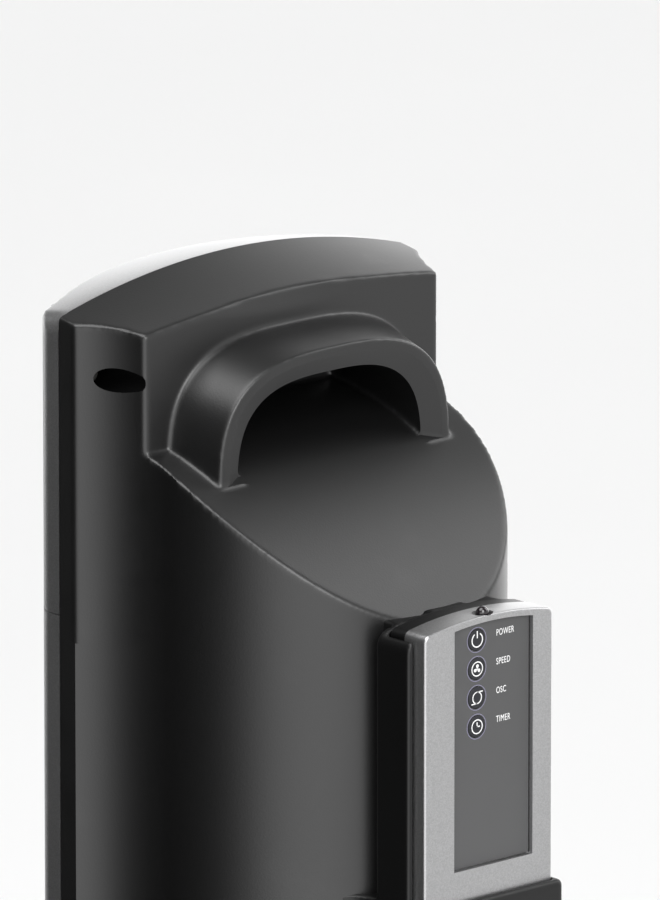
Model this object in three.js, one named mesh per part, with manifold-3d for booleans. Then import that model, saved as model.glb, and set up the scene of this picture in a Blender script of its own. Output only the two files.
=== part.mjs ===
// Tower fan with a moulded carry handle and a remote control clipped in a pod on its back.
// Millimetres, +Z up. The origin is on the floor under the swivel axis; +Y is the back.
import * as THREE from 'three';
import { mergeVertices } from 'three/addons/utils/BufferGeometryUtils.js';
import Module from 'manifold-3d';

const wasm = await Module();
wasm.setup();

// ---- driving dimensions ----
const GAP = 0.35; // clearance between pieces that touch
const WALL = 2.6; // moulded wall of the tower shells
const SEAM_Z = 1068; // height of the shell's top corner at the seam
const CROWN = 12; // rise of the cap above SEAM_Z in the middle
const BODY_R = 69.5; // round rear of the tower
const HALF_W = 83.2; // half width of the tower at the seam
const COVE_END_Y = -34.8; // where the hollow behind each front edge ends
const COVE_STEP = HALF_W - BODY_R;
const COVE_R = (COVE_STEP ** 2 + COVE_END_Y ** 2) / (2 * COVE_STEP);
const SEAM_Y = -42.9; // plane where rear shell and front pieces meet
const SIDE_Y = -49; // end of the flat side of the front pieces
const FRONT_Y = -74; // foremost point of the front
const FRONT_CORNER = 7; // rounding of the front's vertical edges
const PANEL_Y = -10.9; // upright panel that the handle grows from
const HEAD_DROP = 6; // how far the head's top falls from the seam to the front
const HEAD_CORNER = 5; // rounding of its top's side edges
const ARCH_SIDE_Z = SEAM_Z - 109; // lower edge of the head at the sides
const ARCH_RISE = 24; // and how far it rises in the middle

const BASE_R = 165; // base
const BASE_WALL = 2.6;
const FOOT_H = 4;
const FOOT_R = 10;
const BASE_EDGE_H = 13; // height of the base's upright rim
const BOSS_R = 78; // raised middle of the base
const BOSS_TOP = 42;
const NECK_HOLE_R = 62; // opening that the turntable's neck turns in
const RING_H = 1.8; // slide ring between base and turntable
const TABLE_H = 7;
const TOWER_Z = BOSS_TOP + 2 * GAP + RING_H + TABLE_H + GAP; // underside of the tower's shells
const FLOOR_T = 3; // plates inside the tower

const CRANK_OFFSET = 28; // swivel axis to crank axis
const CRANK_THROW = 20; // crank axis to crank pin
const PIN_R = 3;
const SLOT_CLEAR = 1.2; // play of the pin across its slot

const WHEEL_R = 48; // blower wheel
const WHEEL_BLADES = 18;
const WHEEL_Z = 150;
const WHEEL_TOP = 832;
const SHAFT_R = 4;
const DISC_T = 2.4;
const MOTOR_R = 38;
const MOTOR_H = 56;
const MOTOR_TOP = 136;

const WINDOW_Z = 160; // front and rear openings for the air
const WINDOW_TOP = 824;
const WINDOW_HALF_W = 60;
const GRILLE_T = 2.2;
const GRILLE_RIB = 5; // cross bars and borders of the grilles
const FRONT_ROWS = 3;
const FRONT_COLUMNS = 15;
const REAR_ROWS = 4;
const REAR_COLUMNS = 16;
const REAR_WINDOW_ANGLE = 62; // half angle of the rear opening, degrees from straight back

const REMOTE_HALF_W = 30.9;
const REMOTE_TOP = SEAM_Z - 97.2;
const REMOTE_SHOULDER = 3.1; // drop from the middle of its top to the corners
const REMOTE_LENGTH = 118;
const REMOTE_FACE_Y = 92.2;
const REMOTE_FRONT_D = 10.7; // depth of the front half
const REMOTE_DEPTH = 19;
const REMOTE_WALL = 1.6;
const REMOTE_PANEL_X = [-21.3, 16.7]; // sides of the label panel
const REMOTE_PANEL_D = 1.85;
const REMOTE_KEY_X = 4.4;
const REMOTE_KEY_PITCH = 10.6;
const REMOTE_KEY_Z = SEAM_Z - 106.1;
const REMOTE_KEY_R = 4;
const KEY_NAMES = ['power', 'speed', 'osc', 'timer'];
const RAIL_T = 2.8; // walls of the cup that holds the remote's foot
const RAIL_FRONT_Y = 87;
const POD_BLEND = 12;
const LIP_H = 15;
const SPINE_HALF_W = REMOTE_HALF_W - 5.4;
const SPINE_DROP = 3; // how much lower than the remote's top the spine ends
const LATCH_HALF_W = 9;
const LATCH_RISE = 0.5;

const HEAD_KEY_R = 6;
const HEAD_KEY_OUT = 1.4; // how far the keys stand out of the head
const HEAD_KEY_Z = SEAM_Z - 24;
const HEAD_KEY_PITCH = 19;
const HEAD_KEY_NAMES = ['power', 'speed', 'swivel', 'timer', 'mode'];
const LENS_HALF_W = 26;
const LENS_Z = [SEAM_Z - 72, SEAM_Z - 44];

const SCREW_X = 74.5;
const SCREW_HOLE_R = 4.4;
const SCREW_R = 1.5;
const SCREW_HEAD_R = 3.3;
const SCREW_HEAD_H = 2.4;
const SCREW_BOSS_R = 6;
const SCREW_Z = [SEAM_Z - 20.4, TOWER_Z + 34];

const DEG = Math.PI / 180;
const ROUND = 40; // segments of a large round form

// ---- shape helpers ----
function solid(geometry) {
  const bare = geometry.clone();
  bare.deleteAttribute('normal');
  bare.deleteAttribute('uv');
  const merged = mergeVertices(bare, 1e-4);
  const at = merged.attributes.position;
  const triangles = [];
  let volume = 0;
  const [a, b, c] = [new THREE.Vector3(), new THREE.Vector3(), new THREE.Vector3()];
  for (let i = 0; i < merged.index.count; i += 3) {
    const [p, q, r] = [0, 1, 2].map((k) => merged.index.getX(i + k));
    if (p === q || q === r || r === p) continue;
    triangles.push(p, q, r);
    a.fromBufferAttribute(at, p);
    b.fromBufferAttribute(at, q);
    c.fromBufferAttribute(at, r);
    volume += a.dot(b.cross(c));
  }
  if (volume < 0) triangles.reverse();
  const vertProperties = new Float32Array(at.array);
  return new wasm.Manifold(new wasm.Mesh({ numProp: 3, vertProperties, triVerts: new Uint32Array(triangles) }));
}

function geometryOf(body) {
  const mesh = body.getMesh();
  const geometry = new THREE.BufferGeometry();
  geometry.setAttribute('position', new THREE.BufferAttribute(mesh.vertProperties, 3));
  geometry.setIndex(new THREE.BufferAttribute(mesh.triVerts, 1));
  geometry.computeVertexNormals();
  return geometry;
}

const reshape = (geometry, move) => {
  const at = geometry.attributes.position;
  for (let i = 0; i < at.count; i++) at.setXYZ(i, ...move(at.getX(i), at.getY(i), at.getZ(i)));
  return geometry;
};

const box = (x0, x1, y0, y1, z0, z1, nx = 1, ny = 1) => {
  const block = new THREE.BoxGeometry(x1 - x0, y1 - y0, z1 - z0, nx, ny, 1);
  return block.translate((x0 + x1) / 2, (y0 + y1) / 2, (z0 + z1) / 2);
};

const cylinder = (r, z0, z1, x = 0, y = 0, sides = 20) =>
  new THREE.CylinderGeometry(r, r, z1 - z0, sides).rotateX(Math.PI / 2).translate(x, y, (z0 + z1) / 2);

const cylinderY = (r, y0, y1, x, z, sides = 16) =>
  new THREE.CylinderGeometry(r, r, y1 - y0, sides).translate(x, (y0 + y1) / 2, z);

const lathe = (profile, sides = ROUND) =>
  new THREE.LatheGeometry([...profile, profile[0]].map(([r, z]) => new THREE.Vector2(r, z)), sides)
    .rotateX(Math.PI / 2);

const tube = (r0, r1, z0, z1, sides = 32) => lathe([[r0, z0], [r1, z0], [r1, z1], [r0, z1]], sides);

// a plan outline raised from z0 to z1
const prism = (outline, z0, z1) =>
  new THREE.ExtrudeGeometry(new THREE.Shape(outline), { depth: z1 - z0, bevelEnabled: false }).translate(0, 0, z0);

// an outline in X and Z carried from y0 back to y1
const prismY = (outline, y0, y1, steps = 1) =>
  new THREE.ExtrudeGeometry(new THREE.Shape(outline), { depth: y1 - y0, steps, bevelEnabled: false })
    .rotateX(Math.PI / 2).translate(0, y1, 0);

const point = (x, y) => new THREE.Vector2(x, y);

// points on an arc, from angle a0 to a1 in degrees
const arc = (x, y, r, a0, a1, n) =>
  Array.from({ length: n + 1 }, (_, i) => {
    const a = (a0 + ((a1 - a0) * i) / n) * DEG;
    return point(x + r * Math.cos(a), y + r * Math.sin(a));
  });

const mirrored = (points) => points.map((p) => point(-p.x, p.y)).reverse();

// ---- the tower's plan ----
// right half of the round rear with its cove, from the seam to straight back, inset by a wall
function rearHalf(inset, seamY) {
  const coveX = BODY_R + COVE_R;
  const r = COVE_R + inset;
  const turn = Math.acos((coveX - (HALF_W - inset)) / r) / DEG;
  return [
    point(HALF_W - inset, seamY),
    ...arc(coveX, 0, r, 180 + turn, 180, 8),
    ...arc(0, 0, BODY_R - inset, 0, 90, 14).slice(1),
  ];
}

// right half of the bowed front, from the middle of the front to the seam
const FRONT_CORNER_X = HALF_W - FRONT_CORNER;
const FRONT_BOW = SIDE_Y - FRONT_CORNER * 0.9 - FRONT_Y;
const FRONT_R = (FRONT_CORNER_X ** 2 + FRONT_BOW ** 2) / (2 * FRONT_BOW);
const frontSurfaceY = (x) => FRONT_Y + FRONT_R - Math.sqrt(FRONT_R ** 2 - x * x);
function frontHalf(inset, seamY) {
  const edge = Math.asin(FRONT_CORNER_X / FRONT_R) / DEG;
  return [
    ...arc(0, FRONT_Y + FRONT_R, FRONT_R - inset, -90, -90 + edge, 6).slice(0, -1),
    ...arc(FRONT_CORNER_X, SIDE_Y, FRONT_CORNER - inset, -62, 0, 4),
    point(HALF_W - inset, seamY),
  ];
}

const both = (half) => [...half, ...mirrored(half).filter((p) => Math.abs(p.x) > 1e-3)];
const rearPlan = (inset, seamY = SEAM_Y) => both(rearHalf(inset, seamY));
const frontPlan = (inset, seamY = SEAM_Y - GAP) => {
  const half = frontHalf(inset, seamY);
  return [...mirrored(half).filter((p) => Math.abs(p.x) > 1e-3), ...half];
};
const towerPlan = (inset) => {
  const half = [...frontHalf(inset, SIDE_Y).slice(0, -1), ...rearHalf(inset, SEAM_Y)];
  return both(half);
};

// ---- rear shell: cap, handle and slope ----
const REAR_EDGE_DROP = 10;
const EDGE_RELIEF = 5;
const crownZ = (x) => SEAM_Z + CROWN * (1 - (x / HALF_W) ** 2);
const capZ = (x, y) => {
  const back = (y - SEAM_Y) / (PANEL_Y - SEAM_Y);
  return crownZ(x) - back * (REAR_EDGE_DROP - EDGE_RELIEF * (x / HALF_W) ** 2);
};
const slopeZ = (y) => SEAM_Z - 51 - 0.45 * y - 0.0045 * y * y;
const ABOVE = SEAM_Z + 40;

const aboveCap = (inset) =>
  solid(reshape(box(-90, 90, -80, 0, SEAM_Z - 20, ABOVE, 20, 6), (x, y, z) =>
    [x, y, z < SEAM_Z ? capZ(x, y) - inset : z]));
const aboveSlope = (y0, inset) =>
  solid(reshape(box(-90, 90, y0, 100, SEAM_Z - 60, ABOVE, 1, 14), (x, y, z) =>
    [x, y, z < SEAM_Z ? slopeZ(y) - inset : z]));

// the handle is a tunnel whose section is half a superellipse of the third power
const HOOD = { y: [PANEL_Y, 12], halfW: [59.5, 55.5], height: [45.3, 47.7], foot: [-55, -62] };
const HOLLOW = { y: [-35, 20], halfW: [42.5, 44.9], height: [36.4, 38.2], foot: [-58.5, -62.5] };
const SUPER = 2 / 3;
const archUnit = [
  point(1, -0.7),
  ...Array.from({ length: 21 }, (_, i) => {
    const a = (i / 20) * Math.PI;
    return point(Math.sign(Math.cos(a)) * Math.abs(Math.cos(a)) ** SUPER, Math.sin(a) ** SUPER);
  }),
  point(-1, -0.7),
];
function arch(form, y0, y1, grow = 0) {
  const along = (pair, y) => pair[0] + ((pair[1] - pair[0]) * (y - form.y[0])) / (form.y[1] - form.y[0]);
  return solid(reshape(prismY(archUnit, y0, y1, 2), (x, y, z) => [
    x * (along(form.halfW, y) + grow), y, SEAM_Z + along(form.foot, y) + z * (along(form.height, y) + grow)]));
}

const screwBosses = () => SCREW_Z.flatMap((z) => [SCREW_X, -SCREW_X].map((x) =>
  solid(cylinderY(SCREW_BOSS_R, SEAM_Y - 1, 12, x, z))));
const screwWays = () =>
  SCREW_Z.flatMap((z) => [SCREW_X, -SCREW_X].flatMap((x) => [
    solid(cylinderY(SCREW_HOLE_R, SEAM_Y + 5, 20, x, z)),
    solid(cylinderY(SCREW_R + GAP, SEAM_Y - 2, SEAM_Y + 6, x, z, 12))]));

const rearWindow = (grow) => {
  const reach = 120;
  const a = REAR_WINDOW_ANGLE * DEG;
  const side = grow / Math.cos(a);
  const fan = [point(0, -side), point(reach * Math.sin(a), reach * Math.cos(a) - side), point(0, reach),
    point(-reach * Math.sin(a), reach * Math.cos(a) - side)];
  return solid(prism(fan, WINDOW_Z - grow, WINDOW_TOP + grow));
};

function makeRearShell() {
  const body = solid(prism(rearPlan(0), TOWER_Z, SEAM_Z + CROWN + 2)).subtract(aboveCap(0));
  const outer = body.subtract(aboveSlope(PANEL_Y, 0)).add(arch(HOOD, PANEL_Y - 4, HOOD.y[1])
    .subtract(solid(box(-90, 90, -80, 80, 0, SEAM_Z - 90))));
  const hollow = arch(HOLLOW, HOLLOW.y[0], HOLLOW.y[1]).intersect(aboveSlope(-40, 0));
  const hollowWall = arch(HOLLOW, HOLLOW.y[0] - WALL, HOLLOW.y[1], WALL).intersect(aboveSlope(-45, WALL));
  const innerPlan = solid(prism(rearPlan(WALL, SEAM_Y - 1), TOWER_Z - 1, SEAM_Z + CROWN));
  const low = innerPlan.subtract(aboveSlope(-100, WALL));
  const high = innerPlan.subtract(aboveCap(WALL)).subtract(solid(box(-90, 90, PANEL_Y - WALL, 90, 0, ABOVE)));
  let inner = low.add(high).subtract(hollowWall);
  for (const boss of screwBosses()) inner = inner.subtract(boss);
  let shell = outer.subtract(hollow).subtract(inner).subtract(rearWindow(0));
  for (const way of screwWays()) shell = shell.subtract(way);
  return shell;
}

// an arc-shaped wall cut to a plan sector, with rows of slots
function makeRearGrille() {
  const plate = solid(tube(BODY_R - GRILLE_T, BODY_R, WINDOW_Z + GAP, WINDOW_TOP - GAP, 40))
    .intersect(rearWindow(-GAP));
  const rib = 2.2; // degrees
  const margin = 3;
  const pitch = (WINDOW_TOP - WINDOW_Z - GRILLE_RIB) / REAR_ROWS;
  const step = (2 * REAR_WINDOW_ANGLE - 2 * margin) / REAR_COLUMNS;
  let grille = plate;
  for (let c = 0; c < REAR_COLUMNS; c++) {
    const a0 = 90 - REAR_WINDOW_ANGLE + margin + c * step + rib / 2;
    const wedge = [point(0, 0), ...arc(0, 0, 90, a0, a0 + step - rib, 1)];
    for (let r = 0; r < REAR_ROWS; r++) {
      const z = WINDOW_Z + GRILLE_RIB + r * pitch;
      grille = grille.subtract(solid(prism(wedge, z, z + pitch - GRILLE_RIB)));
    }
  }
  return grille;
}

// ---- front pieces ----
const archR = (HALF_W ** 2 + ARCH_RISE ** 2) / (2 * ARCH_RISE);
const archCut = (clear) =>
  solid(cylinderY(archR - clear, -200, 0, 0, ARCH_SIDE_Z + ARCH_RISE - archR, 80))
    .add(solid(box(-100, 100, -200, 0, 0, ARCH_SIDE_Z - clear)));
const windowFront = (grow) =>
  solid(box(-WINDOW_HALF_W - grow, WINDOW_HALF_W + grow, -120, SIDE_Y + 1, WINDOW_Z - grow, WINDOW_TOP + grow));

const headKeyX = HEAD_KEY_NAMES.map((_, i) => (i - (HEAD_KEY_NAMES.length - 1) / 2) * HEAD_KEY_PITCH);

// the head's top carries on from the cap, falls towards the front and rounds off at the sides
const headZ = (x, y) => {
  const ahead = Math.max((SEAM_Y - y) / (SEAM_Y - FRONT_Y), 0);
  const beyond = Math.min(Math.max(Math.abs(x) - HALF_W + HEAD_CORNER, 0), HEAD_CORNER);
  const side = HEAD_CORNER - Math.sqrt(HEAD_CORNER ** 2 - beyond ** 2);
  return crownZ(x) - HEAD_DROP * ahead ** 1.6 - side;
};
const headTop = (inset) =>
  solid(reshape(box(-HALF_W, HALF_W, -90, -30, SEAM_Z - 20, ABOVE, 60, 6), (x, y, z) =>
    [x * 1.001, y, z < SEAM_Z ? headZ(x, y) - inset : z]));

function makeFrontHead() {
  const seam = SEAM_Y - GAP;
  let inner = solid(prism(frontPlan(WALL, seam + 2), ARCH_SIDE_Z - 40, ABOVE)).subtract(headTop(WALL));
  for (const x of [SCREW_X, -SCREW_X]) {
    inner = inner.subtract(solid(cylinderY(SCREW_BOSS_R - 1, SIDE_Y - 12, seam + 3, x, SCREW_Z[0])));
  }
  let head = solid(prism(frontPlan(0), ARCH_SIDE_Z - 5, SEAM_Z + CROWN + 2))
    .subtract(headTop(0)).subtract(archCut(0)).subtract(inner);
  for (const x of headKeyX) head = head.subtract(solid(cylinderY(HEAD_KEY_R + GAP, -90, -56, x, HEAD_KEY_Z, 24)));
  for (const x of [SCREW_X, -SCREW_X]) {
    head = head.subtract(solid(cylinderY(SCREW_R + GAP, SIDE_Y - 2.5, 0, x, SCREW_Z[0], 12)));
  }
  return head.subtract(solid(box(-LENS_HALF_W, LENS_HALF_W, -90, -56, ...LENS_Z)));
}

function makeLens() {
  const skin = solid(prism(frontPlan(0.3), 0, SEAM_Z)).subtract(solid(prism(frontPlan(2, SEAM_Y + 5), -1, ABOVE)));
  const x = LENS_HALF_W - GAP;
  return skin.intersect(solid(box(-x, x, -90, -56, LENS_Z[0] + GAP, LENS_Z[1] - GAP)));
}

const WEB_T = 2.5; // web across the frame above its window
function makeFrontFrame() {
  const seam = SEAM_Y - GAP;
  let inner = solid(prism(frontPlan(WALL, seam + 2), TOWER_Z - 1, SEAM_Z));
  for (const x of [SCREW_X, -SCREW_X]) {
    inner = inner.subtract(solid(cylinderY(SCREW_BOSS_R - 1, SIDE_Y - 12, seam + 3, x, SCREW_Z[1])));
  }
  let frame = solid(prism(frontPlan(0), TOWER_Z, SEAM_Z)).intersect(archCut(GAP + 0.15))
    .subtract(inner.subtract(solid(box(-90, 90, -90, 0, WINDOW_TOP + 20, WINDOW_TOP + 20 + WEB_T))));
  for (const x of [SCREW_X, -SCREW_X]) {
    frame = frame.subtract(solid(cylinderY(SCREW_R + GAP, SIDE_Y - 2.5, 0, x, SCREW_Z[1], 12)));
  }
  return frame.subtract(windowFront(0));
}

function makeFrontGrille() {
  const sheet = solid(prism(frontPlan(0.6), WINDOW_Z + GAP, WINDOW_TOP - GAP))
    .subtract(solid(prism(frontPlan(0.6 + GRILLE_T, SEAM_Y + 5), 0, SEAM_Z)));
  let grille = sheet.intersect(windowFront(-GAP));
  const slat = 2.4;
  const pitch = (WINDOW_TOP - WINDOW_Z - GRILLE_RIB) / FRONT_ROWS;
  const width = (2 * WINDOW_HALF_W - 2 * GRILLE_RIB) / FRONT_COLUMNS;
  for (let c = 0; c < FRONT_COLUMNS; c++) {
    const x = -WINDOW_HALF_W + GRILLE_RIB + c * width + slat / 2;
    for (let r = 0; r < FRONT_ROWS; r++) {
      const z = WINDOW_Z + GRILLE_RIB + r * pitch;
      grille = grille.subtract(solid(box(x, x + width - slat, -100, SIDE_Y, z, z + pitch - GRILLE_RIB)));
    }
  }
  return grille;
}

// ---- inside the tower ----
const plateOutline = () => towerPlan(WALL + GAP + 0.2);
const clearOfBosses = (plate) => {
  const reach = SCREW_BOSS_R + GAP;
  let left = plate;
  for (const x of [SCREW_X, -SCREW_X]) {
    left = left.subtract(solid(box(x - reach, x + reach, SIDE_Y - 13, 0, SCREW_Z[1] - reach, SCREW_Z[1] + reach)));
  }
  return left;
};
const BULKHEAD_Z = MOTOR_TOP + GAP;
const SPIDER_Z = WHEEL_TOP + 8;
const BUSH_R = 9;

const makeFloor = () =>
  clearOfBosses(solid(prism(plateOutline(), TOWER_Z + 1, TOWER_Z + 1 + FLOOR_T))).subtract(solid(cylinder(22, 0, 90)));
const makeBulkhead = () =>
  solid(prism(plateOutline(), BULKHEAD_Z, BULKHEAD_Z + FLOOR_T)).subtract(solid(cylinder(14, 0, 200)));
const makeSpider = () => {
  const plate = solid(prism(plateOutline(), SPIDER_Z, SPIDER_Z + FLOOR_T));
  const housing = solid(tube(BUSH_R + GAP, BUSH_R + 3, SPIDER_Z, SPIDER_Z + 14));
  return plate.subtract(solid(cylinder(BUSH_R + GAP, 0, 999))).add(housing);
};
const makeMotor = () => {
  const can = lathe([[0, MOTOR_TOP - MOTOR_H], [MOTOR_R - 4, MOTOR_TOP - MOTOR_H], [MOTOR_R, MOTOR_TOP - MOTOR_H + 4],
    [MOTOR_R, MOTOR_TOP - 6], [MOTOR_R - 5, MOTOR_TOP], [0, MOTOR_TOP]], 40);
  return solid(can).subtract(solid(cylinder(SHAFT_R + GAP, MOTOR_TOP - MOTOR_H + 6, ABOVE)));
};

// blower wheel: end discs, stiffening rings and blades that lean into the turn
const HUB_R = 12;
function makeWheel() {
  const ringIn = WHEEL_R - 11;
  let wheel = solid(lathe([[SHAFT_R + GAP, WHEEL_Z], [WHEEL_R, WHEEL_Z], [WHEEL_R, WHEEL_Z + DISC_T],
    [HUB_R, WHEEL_Z + DISC_T], [HUB_R, WHEEL_Z + 20], [SHAFT_R + GAP, WHEEL_Z + 20]], 28));
  wheel = wheel.add(solid(tube(SHAFT_R + GAP, WHEEL_R, WHEEL_TOP - DISC_T, WHEEL_TOP, 28)));
  const middle = (WHEEL_Z + WHEEL_TOP) / 2;
  wheel = wheel.add(solid(tube(ringIn, WHEEL_R, middle - 1, middle + 1, 28)));
  const lean = 28;
  for (let i = 0; i < WHEEL_BLADES; i++) {
    const blade = box(-0.8, 0.8, -4.6, 4.6, WHEEL_Z + 1, WHEEL_TOP - 1);
    blade.rotateZ(lean * DEG).translate(0, WHEEL_R - 5.6, 0).rotateZ((i / WHEEL_BLADES) * 2 * Math.PI);
    wheel = wheel.add(solid(blade));
  }
  return wheel;
}
const SHAFT_BOTTOM = MOTOR_TOP - 30;
const SHAFT_TOP = SPIDER_Z + 12;

// sheet of air duct along a list of plan points
function duct(points, thick) {
  const inner = points.map(([x, y]) => point(x, y));
  const outer = inner.map((p, i) => {
    const a = inner[Math.max(i - 1, 0)];
    const b = inner[Math.min(i + 1, inner.length - 1)];
    const way = b.clone().sub(a).normalize();
    return point(p.x + way.y * thick, p.y - way.x * thick);
  });
  return solid(prism([...inner, ...outer.reverse()], BULKHEAD_Z + FLOOR_T + GAP, SPIDER_Z - GAP));
}
const spiral = (a0, a1, r0, r1, n) =>
  Array.from({ length: n + 1 }, (_, i) => {
    const a = (a0 + ((a1 - a0) * i) / n) * DEG;
    const r = r0 + ((r1 - r0) * i) / n;
    return [r * Math.cos(a), r * Math.sin(a)];
  });
const DUCT_T = 1.6;
const DUCT_END_Y = SIDE_Y - 5;
const DUCT_ROOM = BODY_R - WALL - WHEEL_R; // between blower wheel and shell
const makeScroll = () => duct([[WINDOW_HALF_W - 2, DUCT_END_Y],
  ...spiral(-32, 25, WHEEL_R + 0.72 * DUCT_ROOM, WHEEL_R + 0.26 * DUCT_ROOM, 10)], DUCT_T);
const makeTongue = () => duct([...spiral(158, 196, WHEEL_R + 0.16 * DUCT_ROOM, WHEEL_R + 0.16 * DUCT_ROOM, 6),
  [-WINDOW_HALF_W + 2, DUCT_END_Y]], DUCT_T);

// ---- base ----
const RIM_Z = FOOT_H + BASE_EDGE_H;
function baseProfile(inset) {
  const shoulder = 12;
  const sweep = Array.from({ length: 6 }, (_, i) => {
    const t = i / 5;
    const r = BASE_R - shoulder + (BOSS_R + shoulder - BASE_R) * t;
    return [r, RIM_Z + 6 + (BOSS_TOP - RIM_Z - 10) * (t ** 1.25) - inset];
  });
  return [[BASE_R - inset, FOOT_H], ...arc(BASE_R - shoulder, RIM_Z - 6, shoulder - inset, 0, 90, 3)
    .map((p) => [p.x, p.y]), ...sweep.slice(1)];
}
function makeBaseCover() {
  const outside = [...baseProfile(0), [BOSS_R, BOSS_TOP], [NECK_HOLE_R, BOSS_TOP]];
  const inside = [...baseProfile(BASE_WALL).slice(0, -1), [BOSS_R - BASE_WALL, BOSS_TOP - 4 - BASE_WALL],
    [BOSS_R - BASE_WALL, BOSS_TOP - BASE_WALL], [NECK_HOLE_R, BOSS_TOP - BASE_WALL]];
  const cover = solid(lathe([...outside, ...inside.reverse()], 40));
  return cover.subtract(solid(cylinderY(GLAND_R + GAP, BASE_R - 30, BASE_R + 10, 0, GLAND_Z, 20)));
}
const GLAND_R = 5;
const GLAND_Z = FOOT_H + 8;
const makeGland = () => solid(cylinderY(GLAND_R, BASE_R - 12, BASE_R, 0, GLAND_Z))
  .add(solid(cylinderY(GLAND_R + 1.3, BASE_R - 12, BASE_R - 9, 0, GLAND_Z)))
  .subtract(solid(cylinderY(2.6, BASE_R - 20, BASE_R + 5, 0, GLAND_Z)));
const PLATE_Z = FOOT_H + GAP;
const PLATE_T = 2.4;
const FOOT_RING_R = BASE_R - 27;
const footAt = (i) => {
  const a = (45 + 90 * i) * DEG;
  return [FOOT_RING_R * Math.cos(a), FOOT_RING_R * Math.sin(a)];
};
const BALLAST_Z = PLATE_Z + PLATE_T + GAP;
const OSC_R = 24;
const OSC_TOP = 26;
const YOKE_Z = BOSS_TOP - BASE_WALL - GAP - 3;
const CRANK_Z = OSC_TOP + GAP;
const CRANK_T = 3;
const TABLE_Z = BOSS_TOP + 2 * GAP + RING_H;

const makeTable = () => solid(lathe([[40, TABLE_Z], [BOSS_R - 4, TABLE_Z], [BOSS_R - 4, TABLE_Z + 3],
  [BODY_R - 3, TABLE_Z + TABLE_H], [20, TABLE_Z + TABLE_H], [20, TABLE_Z + 4], [40, TABLE_Z + 4]]))
  .add(solid(tube(NECK_HOLE_R - 4, NECK_HOLE_R - 0.8, YOKE_Z + 3 + GAP, TABLE_Z + 1, ROUND)));
// the yoke hooks under the base's opening and carries the slot that the crank pin drives
function makeYoke() {
  const ring = solid(tube(NECK_HOLE_R - 7, NECK_HOLE_R + 5, YOKE_Z, YOKE_Z + 3, ROUND));
  const bar = solid(box(-9, 9, -NECK_HOLE_R + 3, NECK_HOLE_R - 3, YOKE_Z, YOKE_Z + 3));
  const half = PIN_R + SLOT_CLEAR;
  const slot = solid(box(-half, half, -CRANK_OFFSET - CRANK_THROW - 5, -12, 0, 99));
  return ring.add(bar).subtract(slot);
}
const makeCrank = () => {
  const pinY = -CRANK_OFFSET - CRANK_THROW;
  const arm = solid(box(-5, 5, pinY, -CRANK_OFFSET, CRANK_Z, CRANK_Z + CRANK_T));
  return arm.add(solid(cylinder(7, CRANK_Z, CRANK_Z + CRANK_T, 0, -CRANK_OFFSET)))
    .add(solid(cylinder(5, CRANK_Z, CRANK_Z + CRANK_T, 0, pinY)))
    .add(solid(cylinder(PIN_R, CRANK_Z + 1, YOKE_Z + 4.5, 0, pinY, 16)))
    .add(solid(cylinder(2.5, OSC_TOP - 9, CRANK_Z + 1, 0, -CRANK_OFFSET, 16)));
};
const makeOscMotor = () => solid(cylinder(OSC_R, PLATE_Z + PLATE_T + GAP, OSC_TOP, 0, -CRANK_OFFSET, 36))
  .subtract(solid(cylinder(2.5 + GAP, OSC_TOP - 10, 40, 0, -CRANK_OFFSET, 16)));

// ---- remote control and its pod ----
const REMOTE_BOTTOM = REMOTE_TOP - REMOTE_LENGTH;
const REMOTE_CORNER = 3;
// front view of the remote, inset by a wall
function remoteFace(inset) {
  const w = REMOTE_HALF_W - inset;
  const r = REMOTE_CORNER;
  const bow = (w ** 2 + REMOTE_SHOULDER ** 2) / (2 * REMOTE_SHOULDER);
  const top = REMOTE_TOP - inset;
  const edge = Math.asin((w - r) / bow) / DEG;
  const crown = arc(0, top - bow, bow, 90 - edge, 90 + edge, 8);
  return [...arc(-w + r, REMOTE_BOTTOM + inset + r, r, 180, 270, 3),
    ...arc(w - r, REMOTE_BOTTOM + inset + r, r, 270, 360, 3),
    point(w, top - REMOTE_SHOULDER - r), point(w - 1, top - REMOTE_SHOULDER - 0.8), ...crown,
    point(-w + 1, top - REMOTE_SHOULDER - 0.8), point(-w, top - REMOTE_SHOULDER - r)];
}
const SPLIT_Y = REMOTE_FACE_Y - REMOTE_FRONT_D;
const REMOTE_BACK_Y = REMOTE_FACE_Y - REMOTE_DEPTH;
const PANEL_FLOOR_Y = REMOTE_FACE_Y - REMOTE_PANEL_D;
const PANEL_Z = [REMOTE_BOTTOM + 26, REMOTE_TOP - 2.4];
const IR_Y = REMOTE_FACE_Y - 3.6;
const IR_R = 2.2;
const keyZ = (i) => REMOTE_KEY_Z - i * REMOTE_KEY_PITCH;
const panelBlock = (grow, y0, y1) =>
  solid(box(REMOTE_PANEL_X[0] - grow, REMOTE_PANEL_X[1] + grow, y0, y1, PANEL_Z[0] - grow, PANEL_Z[1] + 9))
    .intersect(solid(prismY(remoteFace(2.4 - grow), y0 - 1, y1 + 1)));

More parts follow.
